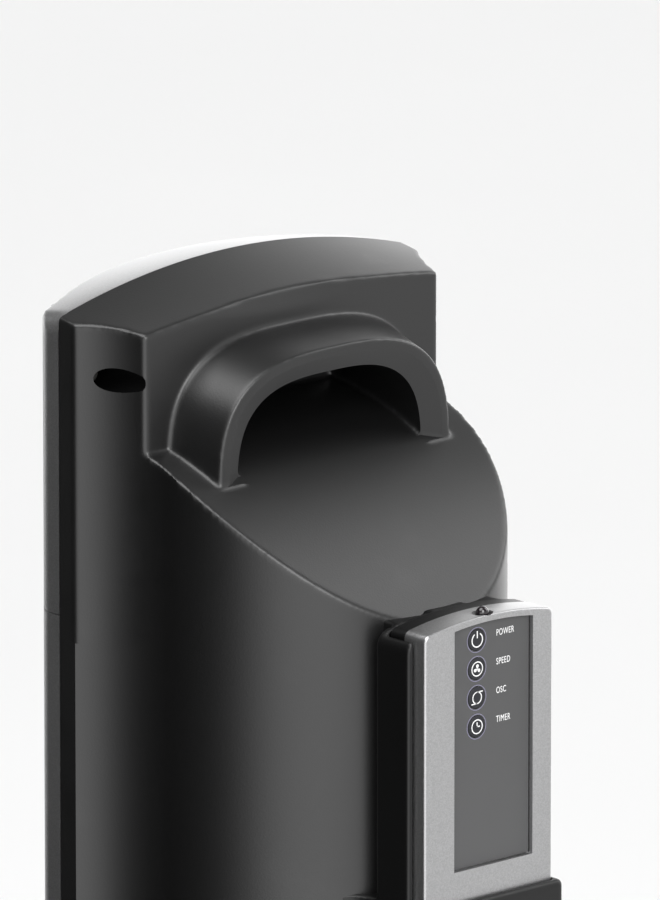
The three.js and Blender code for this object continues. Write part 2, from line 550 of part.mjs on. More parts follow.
function makeRemoteFront() {
  let body = solid(prismY(remoteFace(0), SPLIT_Y, REMOTE_FACE_Y));
  body = body.subtract(solid(prismY(remoteFace(REMOTE_WALL), SPLIT_Y - 1, PANEL_FLOOR_Y - 1.2 - REMOTE_WALL)));
  body = body.subtract(panelBlock(0, PANEL_FLOOR_Y - 0.9, REMOTE_FACE_Y + 2));
  KEY_NAMES.forEach((_, i) => {
    body = body.subtract(solid(cylinderY(REMOTE_KEY_R + GAP, SPLIT_Y - 2, REMOTE_FACE_Y, REMOTE_KEY_X, keyZ(i))));
  });
  return body.subtract(solid(cylinder(IR_R + GAP, REMOTE_TOP - 2.35, REMOTE_TOP + 4, 0, IR_Y, 16)));
}
function makeRemoteLabel() {
  let label = panelBlock(-GAP, PANEL_FLOOR_Y - 0.6, PANEL_FLOOR_Y);
  KEY_NAMES.forEach((_, i) => {
    label = label.subtract(solid(cylinderY(REMOTE_KEY_R + GAP, 0, 100, REMOTE_KEY_X, keyZ(i))));
  });
  return label;
}
const COVER_HALF_W = 20;
const COVER_Z = [REMOTE_BOTTOM + 10, REMOTE_BOTTOM + 62];
const coverBlock = (grow, y0, y1) =>
  solid(box(-COVER_HALF_W - grow, COVER_HALF_W + grow, y0, y1, COVER_Z[0] - grow, COVER_Z[1] + grow));
const makeRemoteBack = () => solid(prismY(remoteFace(0.2), REMOTE_BACK_Y, SPLIT_Y - GAP))
  .subtract(solid(prismY(remoteFace(0.2 + REMOTE_WALL), REMOTE_BACK_Y + REMOTE_WALL, SPLIT_Y)))
  .subtract(coverBlock(0, 0, REMOTE_BACK_Y + 4));
const makeBatteryCover = () => coverBlock(-GAP, REMOTE_BACK_Y, REMOTE_BACK_Y + REMOTE_WALL);
const BATTERY_R = 5.2;
const BOARD_Y = SPLIT_Y + 1.4;

// the cup's plan: side walls, hollow blends and the part hidden behind the round body
const POD_HALF_W = REMOTE_HALF_W + GAP + RAIL_T;
function podPlan() {
  const blendX = POD_HALF_W + POD_BLEND;
  const blendY = Math.sqrt((BODY_R + GAP + POD_BLEND) ** 2 - blendX ** 2);
  const turn = Math.acos(blendX / (BODY_R + GAP + POD_BLEND)) / DEG;
  const half = [...arc(blendX, blendY, POD_BLEND, 180 + turn, 180, 6), point(POD_HALF_W, RAIL_FRONT_Y - 1),
    point(POD_HALF_W - 1, RAIL_FRONT_Y)];
  return [point(half[0].x, half[0].y - 6), ...half, ...mirrored(half), point(-half[0].x, half[0].y - 6)];
}
const POD_BOTTOM = REMOTE_BOTTOM - GAP - RAIL_T;
const LIP_Y = REMOTE_FACE_Y + GAP;
// a cup that holds the remote's foot, and a narrower spine behind it with a spring latch at the top
function makePod() {
  const cupTop = REMOTE_BOTTOM + LIP_H;
  const backY = REMOTE_BACK_Y - GAP;
  const x = REMOTE_HALF_W + GAP;
  const cup = solid(prism(podPlan(), POD_BOTTOM, cupTop));
  const lip = solid(box(-POD_HALF_W, POD_HALF_W, 80, LIP_Y + RAIL_T, POD_BOTTOM, cupTop));
  const spine = solid(box(-SPINE_HALF_W, SPINE_HALF_W, 40, backY, POD_BOTTOM, REMOTE_TOP - SPINE_DROP));
  const latch = solid(box(-LATCH_HALF_W, LATCH_HALF_W, 60, backY, REMOTE_TOP - 20, REMOTE_TOP + LATCH_RISE));
  const pocket = solid(box(-x, x, backY, LIP_Y, REMOTE_BOTTOM - GAP, ABOVE))
    .add(solid(box(-x, x, 80, 200, cupTop - 0.1, ABOVE)));
  return cup.add(lip).add(spine).add(latch).subtract(pocket)
    .subtract(solid(cylinder(BODY_R + GAP, 0, ABOVE, 0, 0, 112)));
}

// ---- materials and assembly ----
const plastic = (color, roughness = 0.5, metalness = 0) =>
  new THREE.MeshStandardMaterial({ color, roughness, metalness });
const black = plastic(0x17181a, 0.45);
const darkGrey = plastic(0x2a2b2e, 0.5);
const silver = plastic(0xb4b6b9, 0.38, 0.55);
const steel = plastic(0x9b9da0, 0.35, 0.9);
const rubber = plastic(0x111111, 0.85);
const white = plastic(0xe6e4dd, 0.5);
const green = plastic(0x1d5a37, 0.55);
const smoked = plastic(0x0b0b0d, 0.12);
const copper = plastic(0x8a8d90, 0.4, 0.8);

const CAPACITOR_BACK_Y = BODY_R - WALL - 9;

const group = new THREE.Group();
function add(name, body, material) {
  const geometry = body.isBufferGeometry ? geometryOf(solid(body)) : geometryOf(body);
  const mesh = new THREE.Mesh(geometry, material);
  mesh.name = name;
  group.add(mesh);
}

add('base_cover', makeBaseCover(), black);
add('base_plate', cylinder(BASE_R - BASE_WALL - 10, PLATE_Z, PLATE_Z + PLATE_T, 0, 0, 64), darkGrey);
add('ballast_weight', tube(OSC_R + CRANK_OFFSET + 10, BASE_R - 20, BALLAST_Z, BALLAST_Z + 7, 48), steel);
for (let i = 0; i < 4; i++) {
  const [x, y] = footAt(i);
  add(`foot_${i + 1}`, cylinder(FOOT_R, 0, FOOT_H, x, y, 20), rubber);
}
add('cord_gland', makeGland(), rubber);
add('slide_ring', tube(NECK_HOLE_R + 3, BOSS_R - 4, BOSS_TOP + GAP, BOSS_TOP + GAP + RING_H, 48), white);
add('swivel_motor', makeOscMotor(), steel);
add('swivel_crank', makeCrank(), white);
add('turntable', makeTable(), black);
add('swivel_yoke', makeYoke(), darkGrey);
add('tower_floor', makeFloor(), darkGrey);
add('motor_bulkhead', makeBulkhead(), darkGrey);
add('fan_motor', makeMotor(), steel);
add('motor_capacitor', box(-14, 14, CAPACITOR_BACK_Y - 14, CAPACITOR_BACK_Y, TOWER_Z + 5, TOWER_Z + 25), darkGrey);
add('motor_shaft', cylinder(SHAFT_R, SHAFT_BOTTOM, SHAFT_TOP, 0, 0, 20), steel);
add('blower_wheel', makeWheel(), darkGrey);
add('bearing_spider', makeSpider(), darkGrey);
add('bearing_bush', tube(SHAFT_R + GAP, BUSH_R, SPIDER_Z + 1, SPIDER_Z + 11, 24), copper);
add('scroll_duct', makeScroll(), darkGrey);
add('cutoff_tongue', makeTongue(), darkGrey);
add('rear_shell', makeRearShell(), black);
add('rear_grille', makeRearGrille(), black);
add('front_head', makeFrontHead(), silver);
add('front_frame', makeFrontFrame(), silver);
add('front_grille', makeFrontGrille(), darkGrey);
add('display_lens', makeLens(), smoked);
add('control_board', box(-54, 54, SIDE_Y - 3.6, SIDE_Y - 2, SEAM_Z - 78, SEAM_Z - 8), green);
add('ir_receiver', box(-4, 4, SIDE_Y - 11, SIDE_Y - 4, LENS_Z[0] + 4, LENS_Z[0] + 12), smoked);

HEAD_KEY_NAMES.forEach((name, i) => {
  const x = headKeyX[i];
  const key = cylinderY(HEAD_KEY_R, frontSurfaceY(x) - HEAD_KEY_OUT, SIDE_Y - 8, x, HEAD_KEY_Z, 24);
  add(`head_button_${name}`, key, darkGrey);
});

[['right', SCREW_X], ['left', -SCREW_X]].forEach(([side, x]) => {
  [['top', SCREW_Z[0]], ['bottom', SCREW_Z[1]]].forEach(([place, z]) => {
    const head = solid(cylinderY(SCREW_HEAD_R, SEAM_Y + 5 + GAP, SEAM_Y + 5 + GAP + SCREW_HEAD_H, x, z, 16));
    const shank = solid(cylinderY(SCREW_R, SIDE_Y - 1.5, SEAM_Y + 6, x, z, 12));
    add(`shell_screw_${place}_${side}`, head.add(shank), steel);
  });
});

add('remote_pod', makePod(), black);
add('remote_front', makeRemoteFront(), silver);
add('remote_back', makeRemoteBack(), black);
add('remote_label', makeRemoteLabel(), darkGrey);
add('remote_battery_cover', makeBatteryCover(), black);
add('remote_board', box(-26, 26, BOARD_Y, BOARD_Y + 1.2, REMOTE_BOTTOM + 64, REMOTE_TOP - 9), green);
for (const [i, x] of [-7, 7].entries()) {
  const cell = cylinder(BATTERY_R, REMOTE_BOTTOM + 12, REMOTE_BOTTOM + 56, x, (REMOTE_BACK_Y + SPLIT_Y) / 2 + 3.2, 20);
  add(`remote_battery_${i + 1}`, cell, copper);
}
add('remote_ir_lens', solid(cylinder(IR_R, REMOTE_TOP - 2, REMOTE_TOP + 0.8, 0, IR_Y, 12))
  .add(solid(new THREE.SphereGeometry(IR_R, 12, 8).translate(0, IR_Y, REMOTE_TOP + 0.6))), smoked);
KEY_NAMES.forEach((name, i) => {
  const key = cylinderY(REMOTE_KEY_R, BOARD_Y + 3, REMOTE_FACE_Y - 0.6, REMOTE_KEY_X, keyZ(i));
  add(`remote_button_${name}`, key, darkGrey);
});

export default group;
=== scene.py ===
import math

import bmesh
import bpy
from bpy.props import FloatProperty, PointerProperty
from bpy.types import Operator, Panel, PropertyGroup
from mathutils import Matrix, Vector


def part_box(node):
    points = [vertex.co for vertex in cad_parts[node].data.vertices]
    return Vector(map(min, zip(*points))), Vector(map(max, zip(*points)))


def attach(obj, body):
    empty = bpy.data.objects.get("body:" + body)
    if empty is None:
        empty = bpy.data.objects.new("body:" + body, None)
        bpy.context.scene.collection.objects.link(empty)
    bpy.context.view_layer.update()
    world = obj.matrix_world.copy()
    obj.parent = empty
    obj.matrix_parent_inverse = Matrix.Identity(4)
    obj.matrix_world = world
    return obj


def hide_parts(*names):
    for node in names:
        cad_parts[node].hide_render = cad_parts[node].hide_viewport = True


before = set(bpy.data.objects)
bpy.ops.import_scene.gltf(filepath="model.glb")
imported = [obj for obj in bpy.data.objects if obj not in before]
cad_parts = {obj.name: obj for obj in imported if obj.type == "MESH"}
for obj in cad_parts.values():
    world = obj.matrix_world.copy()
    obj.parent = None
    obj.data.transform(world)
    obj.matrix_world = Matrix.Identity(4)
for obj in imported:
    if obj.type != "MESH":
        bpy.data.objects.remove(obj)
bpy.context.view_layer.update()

bl_info = {
    "name": "Tower fan",
    "version": (1, 0, 0),
    "blender": (4, 5, 0),
    "location": "3D View > Sidebar > Tower fan",
    "description": "Builds the shells, grilles, remote control and base of a tower fan around its frame",
    "category": "Object",
}

SHELL_LOW, SHELL_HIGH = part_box("rear_shell")
FRONT_LOW, FRONT_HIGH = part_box("front_frame")
HEAD_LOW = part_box("front_head")[0]
BASE_LOW, BASE_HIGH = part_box("base_cover")
REMOTE_LOW, REMOTE_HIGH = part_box("remote_front")
BACK_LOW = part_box("remote_back")[0]
POD_LOW, POD_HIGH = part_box("remote_pod")
GRILLE_LOW, GRILLE_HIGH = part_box("rear_grille")
OUTLET_LOW, OUTLET_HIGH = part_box("front_grille")
MM = 0.001
CROWN = 12 * MM
SEAM_Z = SHELL_HIGH.z - CROWN
SEAM_Y = SHELL_LOW.y
HALF_W = SHELL_HIGH.x
BODY_R = SHELL_HIGH.y
COVE_END_Y = -34.8 * MM
COVE_R = ((HALF_W - BODY_R) ** 2 + COVE_END_Y ** 2) / (2 * (HALF_W - BODY_R))
WALL = 2.6 * MM
PANEL_Y = -10.9 * MM
GAP = 0.35 * MM
FAR = 200 * MM


# ---- building helpers ----
def key_at(node):
    """Middle of a CAD node's box."""
    low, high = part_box(node)
    return (low + high) / 2


class Wire:
    """A flat outline drawn with straight runs and arcs, then filled and pulled into a body."""

    def __init__(self, x, y):
        self.bm = bmesh.new()
        self.first = self.last = self.bm.verts.new((x, y, 0))

    def line(self, x, y):
        new = self.bm.verts.new((x, y, 0))
        self.bm.edges.new((self.last, new))
        self.last = new
        return self

    def arc(self, x, y, degrees, steps):
        made = bmesh.ops.spin(self.bm, geom=[self.last], cent=(x, y, 0), axis=(0, 0, 1),
                              angle=math.radians(degrees), steps=steps, use_duplicate=False)
        self.last = [v for v in made["geom_last"] if isinstance(v, bmesh.types.BMVert)][0]
        return self

    def mirror(self):
        """Doubles the half outline across the plane X = 0."""
        bm = self.bm
        bmesh.ops.mirror(bm, geom=bm.verts[:] + bm.edges[:], matrix=Matrix(), merge_dist=0.01 * MM, axis="X")
        return self

    def fill(self):
        bm = self.bm
        bmesh.ops.remove_doubles(bm, verts=bm.verts, dist=0.005 * MM)
        bm.verts.ensure_lookup_table()
        ends = [v for v in bm.verts if len(v.link_edges) == 1]
        if len(ends) == 2:
            bm.edges.new(ends)
        bmesh.ops.contextual_create(bm, geom=bm.edges[:])
        return bm

    def raised(self, low, high):
        """The outline as a plan, from height low to height high."""
        bm = self.fill()
        pull(bm, (0, 0, high - low))
        bmesh.ops.translate(bm, verts=bm.verts, vec=(0, 0, low))
        return bm

    def carried(self, near, far):
        """The outline as a front view in X and Z, from Y = near to Y = far."""
        bm = self.fill()
        pull(bm, (0, 0, far - near))
        bmesh.ops.rotate(bm, verts=bm.verts, matrix=Matrix.Rotation(math.radians(90), 3, "X"))
        bmesh.ops.translate(bm, verts=bm.verts, vec=(0, far, 0))
        return bm


def pull(bm, way):
    """Extrudes all faces of a flat bmesh along a vector and closes the body."""
    made = bmesh.ops.extrude_face_region(bm, geom=bm.faces[:])
    moved = [v for v in made["geom"] if isinstance(v, bmesh.types.BMVert)]
    bmesh.ops.translate(bm, verts=moved, vec=way)
    bmesh.ops.recalc_face_normals(bm, faces=bm.faces)


def turned(points, steps=96):
    """A profile of (radius, height) points turned all the way round Z."""
    bm = bmesh.new()
    verts = [bm.verts.new((r, 0, z)) for r, z in points]
    edges = [bm.edges.new(pair) for pair in zip(verts, verts[1:])]
    bmesh.ops.spin(bm, geom=verts + edges, cent=(0, 0, 0), axis=(0, 0, 1), angle=2 * math.pi, steps=steps,
                   use_merge=True, use_duplicate=False)
    bmesh.ops.remove_doubles(bm, verts=bm.verts, dist=0.002 * MM)
    bmesh.ops.recalc_face_normals(bm, faces=bm.faces)
    return bm


def block(low, high, bevel=0.0, segments=2):
    """A box between two corners, its edges rounded by bevel."""
    bm = bmesh.new()
    bmesh.ops.create_cube(bm, size=1)
    low, high = Vector(low), Vector(high)
    bmesh.ops.scale(bm, verts=bm.verts, vec=high - low)
    bmesh.ops.translate(bm, verts=bm.verts, vec=(low + high) / 2)
    if bevel:
        round_edges(bm, bm.edges, bevel, segments)
    return bm


def round_edges(bm, edges, width, segments=2):
    bmesh.ops.bevel(bm, geom=list(edges), offset=width, offset_type="OFFSET", segments=segments, profile=0.5,
                    affect="EDGES", material=-1, clamp_overlap=True)


def sharp_edges(bm, degrees=30):
    limit = math.radians(degrees)
    return [e for e in bm.edges if len(e.link_faces) == 2 and e.calc_face_angle() > limit]


def rod(radius, start, end, sides=24):
    """A round bar between two points."""
    start, end = Vector(start), Vector(end)
    bm = bmesh.new()
    bmesh.ops.create_cone(bm, cap_ends=True, segments=sides, radius1=radius, radius2=radius,
                          depth=(end - start).length)
    way = (end - start).to_track_quat("Z", "Y").to_matrix().to_4x4()
    bmesh.ops.transform(bm, verts=bm.verts, matrix=Matrix.Translation((start + end) / 2) @ way)
    return bm


def merge(*parts):
    """Several bmeshes as one."""
    whole = bmesh.new()
    for part in parts:
        mesh = bpy.data.meshes.new("part")
        part.to_mesh(mesh)
        part.free()
        whole.from_mesh(mesh)
        bpy.data.meshes.remove(mesh)
    return whole


def to_object(name, bm, smooth=True):
    mesh = bpy.data.meshes.new(name)
    bm.to_mesh(mesh)
    bm.free()
    made = bpy.data.objects.new(name, mesh)
    bpy.context.scene.collection.objects.link(made)
    if smooth:
        mesh.shade_smooth()
    return made


def settle(piece):
    """Applies a piece's modifiers to its mesh."""
    bpy.context.view_layer.update()
    seen = piece.evaluated_get(bpy.context.evaluated_depsgraph_get())
    mesh = bpy.data.meshes.new_from_object(seen)
    mesh.name = piece.name
    old = piece.data
    piece.modifiers.clear()
    piece.data = mesh
    bpy.data.meshes.remove(old)
    return piece


def taken(piece):
    """The piece's mesh as a bmesh; the piece itself goes."""
    bm = bmesh.new()
    bm.from_mesh(piece.data)
    bpy.data.objects.remove(piece)
    return bm


def carve(piece, bm, operation="DIFFERENCE", crossing=False):
    """Cuts, joins or intersects a piece with a body; crossing bars need their own crossings sorted out."""
    tool = to_object("tool", bm)
    change = piece.modifiers.new("carve", "BOOLEAN")
    change.operation = operation
    change.solver = "EXACT"
    change.object = tool
    change.use_self = crossing
    settle(piece)
    mesh = tool.data
    bpy.data.objects.remove(tool)
    bpy.data.meshes.remove(mesh)
    return piece


def moulded(piece, voxel, rounds):
    """Remeshes a piece finely and eases its edges, so that every corner has a moulding's radius."""
    remesh = piece.modifiers.new("remesh", "REMESH")
    remesh.mode = "VOXEL"
    remesh.voxel_size = voxel
    ease = piece.modifiers.new("ease", "SMOOTH")
    ease.factor = 0.5
    ease.iterations = rounds
    settle(piece)
    piece.data.shade_smooth()
    return piece


def finished(piece, material, body, slot, *nodes):
    """Gives a piece its material and the body it moves with, and hides the CAD nodes it stands for; the slot
    is not used.
    """
    piece.data.materials.clear()
    piece.data.materials.append(material)
    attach(piece, body)
    if nodes:
        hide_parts(*nodes)
    return piece


def by_angle(piece, degrees=35):
    """Smooth shading that stays crisp over sharp edges."""
    piece.data.shade_smooth()
    piece.data.set_sharp_from_angle(angle=math.radians(degrees))
    return piece


def bevelled(piece, width, segments=2, degrees=30):
    """Eases a piece's edges and keeps its flat faces flat in the light."""
    by_angle(piece, 40)
    ease = piece.modifiers.new("bevel", "BEVEL")
    ease.width = width
    ease.segments = segments
    ease.limit_method = "ANGLE"
    ease.angle_limit = math.radians(degrees)
    ease.use_clamp_overlap = True
    ease.harden_normals = True
    return settle(piece)


def refined(name, node, bevel, degrees=30):
    """A copy of a CAD node with merged corners, flat faces joined up and eased edges."""
    bm = bmesh.new()
    bm.from_mesh(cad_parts[node].data)
    bmesh.ops.remove_doubles(bm, verts=bm.verts, dist=0.01 * MM)
    bmesh.ops.dissolve_limit(bm, angle_limit=math.radians(1), verts=bm.verts, edges=bm.edges)
    return bevelled(to_object(name, bm), bevel, 2, degrees)


# ---- shader helpers ----
class Val:
    """A socket that takes part in sums: each operation adds a Math node."""

    def __init__(self, paint, socket):
        self.paint, self.socket = paint, socket

    def _math(self, operation, *values):
        return self.paint.node("ShaderNodeMath", {"operation": operation}, *values)

    def __add__(self, other):
        return self._math("ADD", self, other)

    def __mul__(self, other):
        return self._math("MULTIPLY", self, other)

    def __sub__(self, other):
        return self._math("SUBTRACT", self, other)

    def __rsub__(self, other):
        return self._math("SUBTRACT", other, self)

    __radd__ = __add__
    __rmul__ = __mul__


class Paint:
    """A material, or the world, under construction."""

    def __init__(self, name, kind="materials", shader="Principled BSDF", place="Object"):
        self.material = getattr(bpy.data, kind).new(name)
        self.material.use_nodes = True
        self.tree = self.material.node_tree
        self.shader = self.tree.nodes[shader]
        self.place = self.node("ShaderNodeTexCoord", {}, out=place)

    def feed(self, socket, value):
        """Links a socket, or sets it where the value is plain."""
        if isinstance(value, Val):
            self.tree.links.new(value.socket, socket)
        else:
            socket.default_value = value

    def node(self, kind, settings, *values, out=0, **named):
        """Adds a node: its settings first, then the values or links of its sockets."""
        made = self.tree.nodes.new(kind)
        for key, value in settings.items():
            setattr(made, key, value)
        for key, value in [*enumerate(values), *named.items()]:
            self.feed(made.inputs[key.replace("_", " ") if isinstance(key, str) else key], value)
        return Val(self, made.outputs[out])

    def noise(self, scale, detail=2.0, roughness=0.5, stretch=None):
        where = self.place
        if stretch:
            where = self.node("ShaderNodeMapping", {}, Vector=where, Scale=stretch)
        return self.node("ShaderNodeTexNoise", {}, Vector=where, Scale=scale, Detail=detail,
                         Roughness=roughness)

    def mix(self, factor, one, two):
        """A colour between two colours."""
        made = self.tree.nodes.new("ShaderNodeMix")
        made.data_type = "RGBA"
        for place, value in ((0, factor), (6, one), (7, two)):
            self.feed(made.inputs[place], value)
        return Val(self, made.outputs[2])

    def between(self, value, low, high):
        """A value held between 0 and 1 as it goes from low to high."""
        return self.node("ShaderNodeMapRange", {"interpolation_type": "SMOOTHSTEP"}, Value=value,
                         From_Min=low, From_Max=high)

    def bump(self, height, strength, distance, under=None):
        values = {"Height": height, "Strength": strength, "Distance": distance}
        if under is not None:
            values["Normal"] = under
        return self.node("ShaderNodeBump", {}, **values)

    def finish(self, **sockets):
        """Sets or links the shader's own sockets."""
        for key, value in sockets.items():
            self.feed(self.shader.inputs[key.replace("_", " ")], value)
        return self.material


def grey(value, tint=(1, 1, 1)):
    return (*(value * part for part in tint), 1)


MATERIALS = {}


def grained_plastic(name, tone, roughness, grain, tint=(1, 1, 1.04), specular=0.5):
    """Moulded plastic with a spark-eroded grain, faint flow clouds and rubbed patches."""
    paint = Paint(name)
    clouds = paint.noise(9, 3, 0.55)
    fine = paint.noise(2600, 1, 0.4)
    pebble = paint.node("ShaderNodeTexVoronoi", {"feature": "SMOOTH_F1"}, Vector=paint.place, Scale=1500.0,
                        Smoothness=0.6)
    rubbed = paint.between(paint.noise(34, 5, 0.6), 0.55, 0.75)
    colour = paint.mix(clouds, grey(tone * 0.86, tint), grey(tone * 1.16, tint))
    colour = paint.mix(rubbed * 0.25, colour, grey(tone * 1.5, tint))
    rough = clouds * 0.05 + (roughness - 0.03) + fine * 0.06 - rubbed * 0.04
    coarse = paint.bump(pebble, grain, 0.05 * MM)
    skin = paint.bump(fine, grain * 0.7, 0.03 * MM, coarse)
    return paint.finish(Base_Color=colour, Roughness=rough, Normal=skin, Specular_IOR_Level=specular)


def silver_paint(name, tone, roughness):
    """Metallic silver paint over plastic: fine flake, a soft orange-peel skin and light rubbing."""
    paint = Paint(name)
    flake = paint.node("ShaderNodeTexVoronoi", {}, Vector=paint.place, Scale=2600.0, out="Color")
    glint = paint.node("ShaderNodeSeparateColor", {}, Color=flake)
    clouds = paint.noise(14, 3, 0.5)
    peel = paint.noise(420, 2, 0.5)
    colour = paint.mix(glint, grey(tone * 0.86, (1, 1, 1.01)), grey(tone * 1.1, (1, 1, 1.01)))
    colour = paint.mix(clouds * 0.3, colour, grey(tone * 0.95))
    skin = paint.bump(glint, 0.10, 0.05 * MM, paint.bump(peel, 0.12, 0.08 * MM))
    return paint.finish(Base_Color=colour, Metallic=0.96, Roughness=glint * 0.08 + clouds * 0.06 + roughness,
                        Normal=skin)


def soft_rubber(name, tone, tint=(1, 1, 1)):
    """Soft rubber with a dry bloom."""
    paint = Paint(name)
    bloom = paint.noise(60, 4, 0.6)
    fine = paint.noise(1800, 2, 0.5)
    colour = paint.mix(bloom, grey(tone * 0.8, tint), grey(tone * 1.3, tint))
    return paint.finish(Base_Color=colour, Roughness=bloom * 0.12 + 0.62,
                        Normal=paint.bump(fine, 0.3, 0.05 * MM))


def brushed_metal(name, tone, roughness, tint=(1, 1, 1), stretch=(1, 1, 30)):
    """Turned or drawn metal with fine lines and slight stains."""
    paint = Paint(name)
    lines = paint.noise(300, 3, 0.6, stretch)
    stains = paint.noise(25, 4, 0.6)
    colour = paint.mix(stains, grey(tone * 0.8, tint), grey(tone, tint))
    return paint.finish(Base_Color=colour, Metallic=1.0, Roughness=lines * 0.12 + stains * 0.12 + roughness,
                        Normal=paint.bump(lines, 0.12, 0.03 * MM))


def smoked_gloss(name, tone):
    """Smoked clear plastic, glossy, with a trace of dust."""
    paint = Paint(name)
    dust = paint.between(paint.noise(500, 3, 0.6), 0.62, 0.75)
    colour = paint.mix(dust * 0.2, grey(tone, (1.2, 0.9, 1.1)), grey(0.05))
    return paint.finish(Base_Color=colour, Roughness=dust * 0.25 + 0.08, Coat_Weight=0.5,
                        Normal=paint.bump(paint.noise(60, 2, 0.5), 0.03, 0.1 * MM))


def printed_board(name):
    """Green laminate with copper runs under its lacquer."""
    paint = Paint(name)
    runs = paint.node("ShaderNodeTexBrick", {}, Vector=paint.place, Scale=160.0, Mortar_Size=0.06,
                      out="Fac")
    weave = paint.noise(900, 2, 0.5)
    colour = paint.mix(runs, (0.012, 0.10, 0.045, 1), (0.03, 0.2, 0.08, 1))
    colour = paint.mix(weave * 0.3, colour, (0.02, 0.13, 0.05, 1))
    return paint.finish(Base_Color=colour, Roughness=weave * 0.1 + 0.3,
                        Normal=paint.bump(runs, 0.3, 0.05 * MM))


def screen_ink(name, tone, tint=(1, 1, 1)):
    """Printed ink: flat, dry and slightly uneven."""
    paint = Paint(name)
    wear = paint.noise(700, 3, 0.6)
    colour = paint.mix(wear, grey(tone * 0.92, tint), grey(tone, tint))
    return paint.finish(Base_Color=colour, Roughness=wear * 0.15 + 0.45,
                        Normal=paint.bump(wear, 0.1, 0.02 * MM))


def mix_materials():
    """All finishes of the fan."""
    look = bpy.context.scene.fan_look
    MATERIALS.update(
        shell=grained_plastic("black_moulding", look.shell_tone, look.shell_roughness, 0.3, specular=0.8),
        pod=grained_plastic("black_pod_moulding", look.shell_tone * 0.8, 0.4, 0.22),
        dark=grained_plastic("dark_moulding", 0.02, 0.5, 0.3),
        grille=grained_plastic("grille_moulding", 0.012, 0.38, 0.15),
        base=grained_plastic("base_moulding", 0.012, 0.36, 0.2),
        silver=silver_paint("silver_paint", look.silver_tone, 0.3),
        rubber=soft_rubber("foot_rubber", 0.015),
        key=soft_rubber("key_rubber", 0.013, (0.9, 0.95, 1.25)),
        nylon=grained_plastic("white_nylon", 0.7, 0.45, 0.15, (1, 0.98, 0.93)),
        steel=brushed_metal("turned_steel", 0.55, 0.28),
        zinc=brushed_metal("zinc_plate", 0.62, 0.34, (1, 1, 0.97), (1, 1, 1)),
        bronze=brushed_metal("sintered_bronze", 0.5, 0.45, (1, 0.72, 0.42), (1, 1, 1)),
        window=smoked_gloss("smoked_window", 0.01),
        board=printed_board("circuit_laminate"),
        panel=grained_plastic("key_panel_film", look.panel_tone, 0.42, 0.12, (1, 1, 1.02)),
        ring=screen_ink("key_ring_ink", 0.24, (0.85, 0.82, 1.15)),
        ink=screen_ink("white_ink", 0.82),
        # painted shade: a near-black, rough, barely glossy finish for the screw bores' walls, so the bores
        # read black inside
        recess=grained_plastic("screw_well_moulding", 0.001, 0.8, 0.2, specular=0.05),
    )


# ---- tower shells ----
COVE_X = BODY_R + COVE_R
CAP_FALL, CAP_FALL_LESS = 10, 5.04
SLOPE_DROP, SLOPE_FALL, SLOPE_BEND = 51 * MM, 0.45, 4.5
FRONT_CORNER, FRONT_CORNER_Y, FRONT_TURN = 7 * MM, SEAM_Y - 6.1 * MM, 62
FRONT_BOW_SHARE, FRONT_BOW_TRIM = 0.9, 3
TALL = 250 * MM
HOOD = {"y": (PANEL_Y, 12 * MM), "half": (59.5, 55.5), "height": (45.3, 47.7), "foot": (-55, -62)}
FINGER_WAY = {"y": (-35 * MM, 20 * MM), "half": (42.5, 44.9), "height": (36.4, 38.2), "foot": (-58.5, -62.5)}
HOOD_SINK = {"y": (8.6 * MM, 12.4 * MM), "half": (44.4, 52.6), "height": (37.6, 44.8), "foot": (-61, -62)}
SUPER = 2 / 3
SCREW_X = key_at("shell_screw_top_right").x
SCREW_TOP_Z = key_at("shell_screw_top_right").z
SCREW_LOW_Z = key_at("shell_screw_bottom_right").z
SCREW_HOLE_R = 4.4 * MM
SPARE = 6 * MM
THUMB_R, THUMB_DEPTH, THUMB_STEEP = 272 * MM, 3.4 * MM, 3
JOIN_Z = SEAM_Z - 118 * MM
WINDOW_Z = GRILLE_LOW.z - GAP
WINDOW_TOP = GRILLE_HIGH.z + GAP
WINDOW_ANGLE = 62
BOSS_R = 6 * MM


def cap_z(x, y):
    """Height of the domed cap, which falls to the back, and falls less at its sides."""
    back = (y - SEAM_Y) / (PANEL_Y - SEAM_Y)
    bow = (x / HALF_W) ** 2
    return SEAM_Z + CROWN * (1 - bow) - back * (CAP_FALL - CAP_FALL_LESS * bow) * MM


def slope_over(_, y):
    """Height of the sloping top of the round rear, the same all across."""
    return SEAM_Z - SLOPE_DROP - SLOPE_FALL * y - SLOPE_BEND * y * y


def rear_plan(inset=0.0, ahead=0.0):
    """The rear's plan, drawn in by a wall and carried on ahead of the seam."""
    turn = math.acos((COVE_X - HALF_W + inset) / (COVE_R + inset))
    wire = Wire(HALF_W - inset, SEAM_Y - ahead)
    wire.line(HALF_W - inset, -(COVE_R + inset) * math.sin(turn))
    wire.arc(COVE_X, 0, -math.degrees(turn), 22)
    return wire.arc(0, 0, 90, 44).mirror()


def front_plan(inset=0.0, seam=0.0):
    """The front's plan: a bow, two corners and short sides that reach the seam or go past it."""
    corner_x, corner = HALF_W - FRONT_CORNER, FRONT_CORNER - inset
    bow = FRONT_CORNER_Y - FRONT_CORNER * FRONT_BOW_SHARE - FRONT_LOW.y
    radius = (corner_x ** 2 + bow ** 2) / (2 * bow)
    edge = math.degrees(math.asin(corner_x / radius)) - FRONT_BOW_TRIM
    start = math.radians(-FRONT_TURN)
    wire = Wire(0, FRONT_LOW.y + inset).arc(0, FRONT_LOW.y + radius, edge, 30)
    wire.line(corner_x + corner * math.cos(start), FRONT_CORNER_Y + corner * math.sin(start))
    wire.arc(corner_x, FRONT_CORNER_Y, FRONT_TURN, 8).line(HALF_W - inset, SEAM_Y - GAP + seam)
    return wire.mirror()


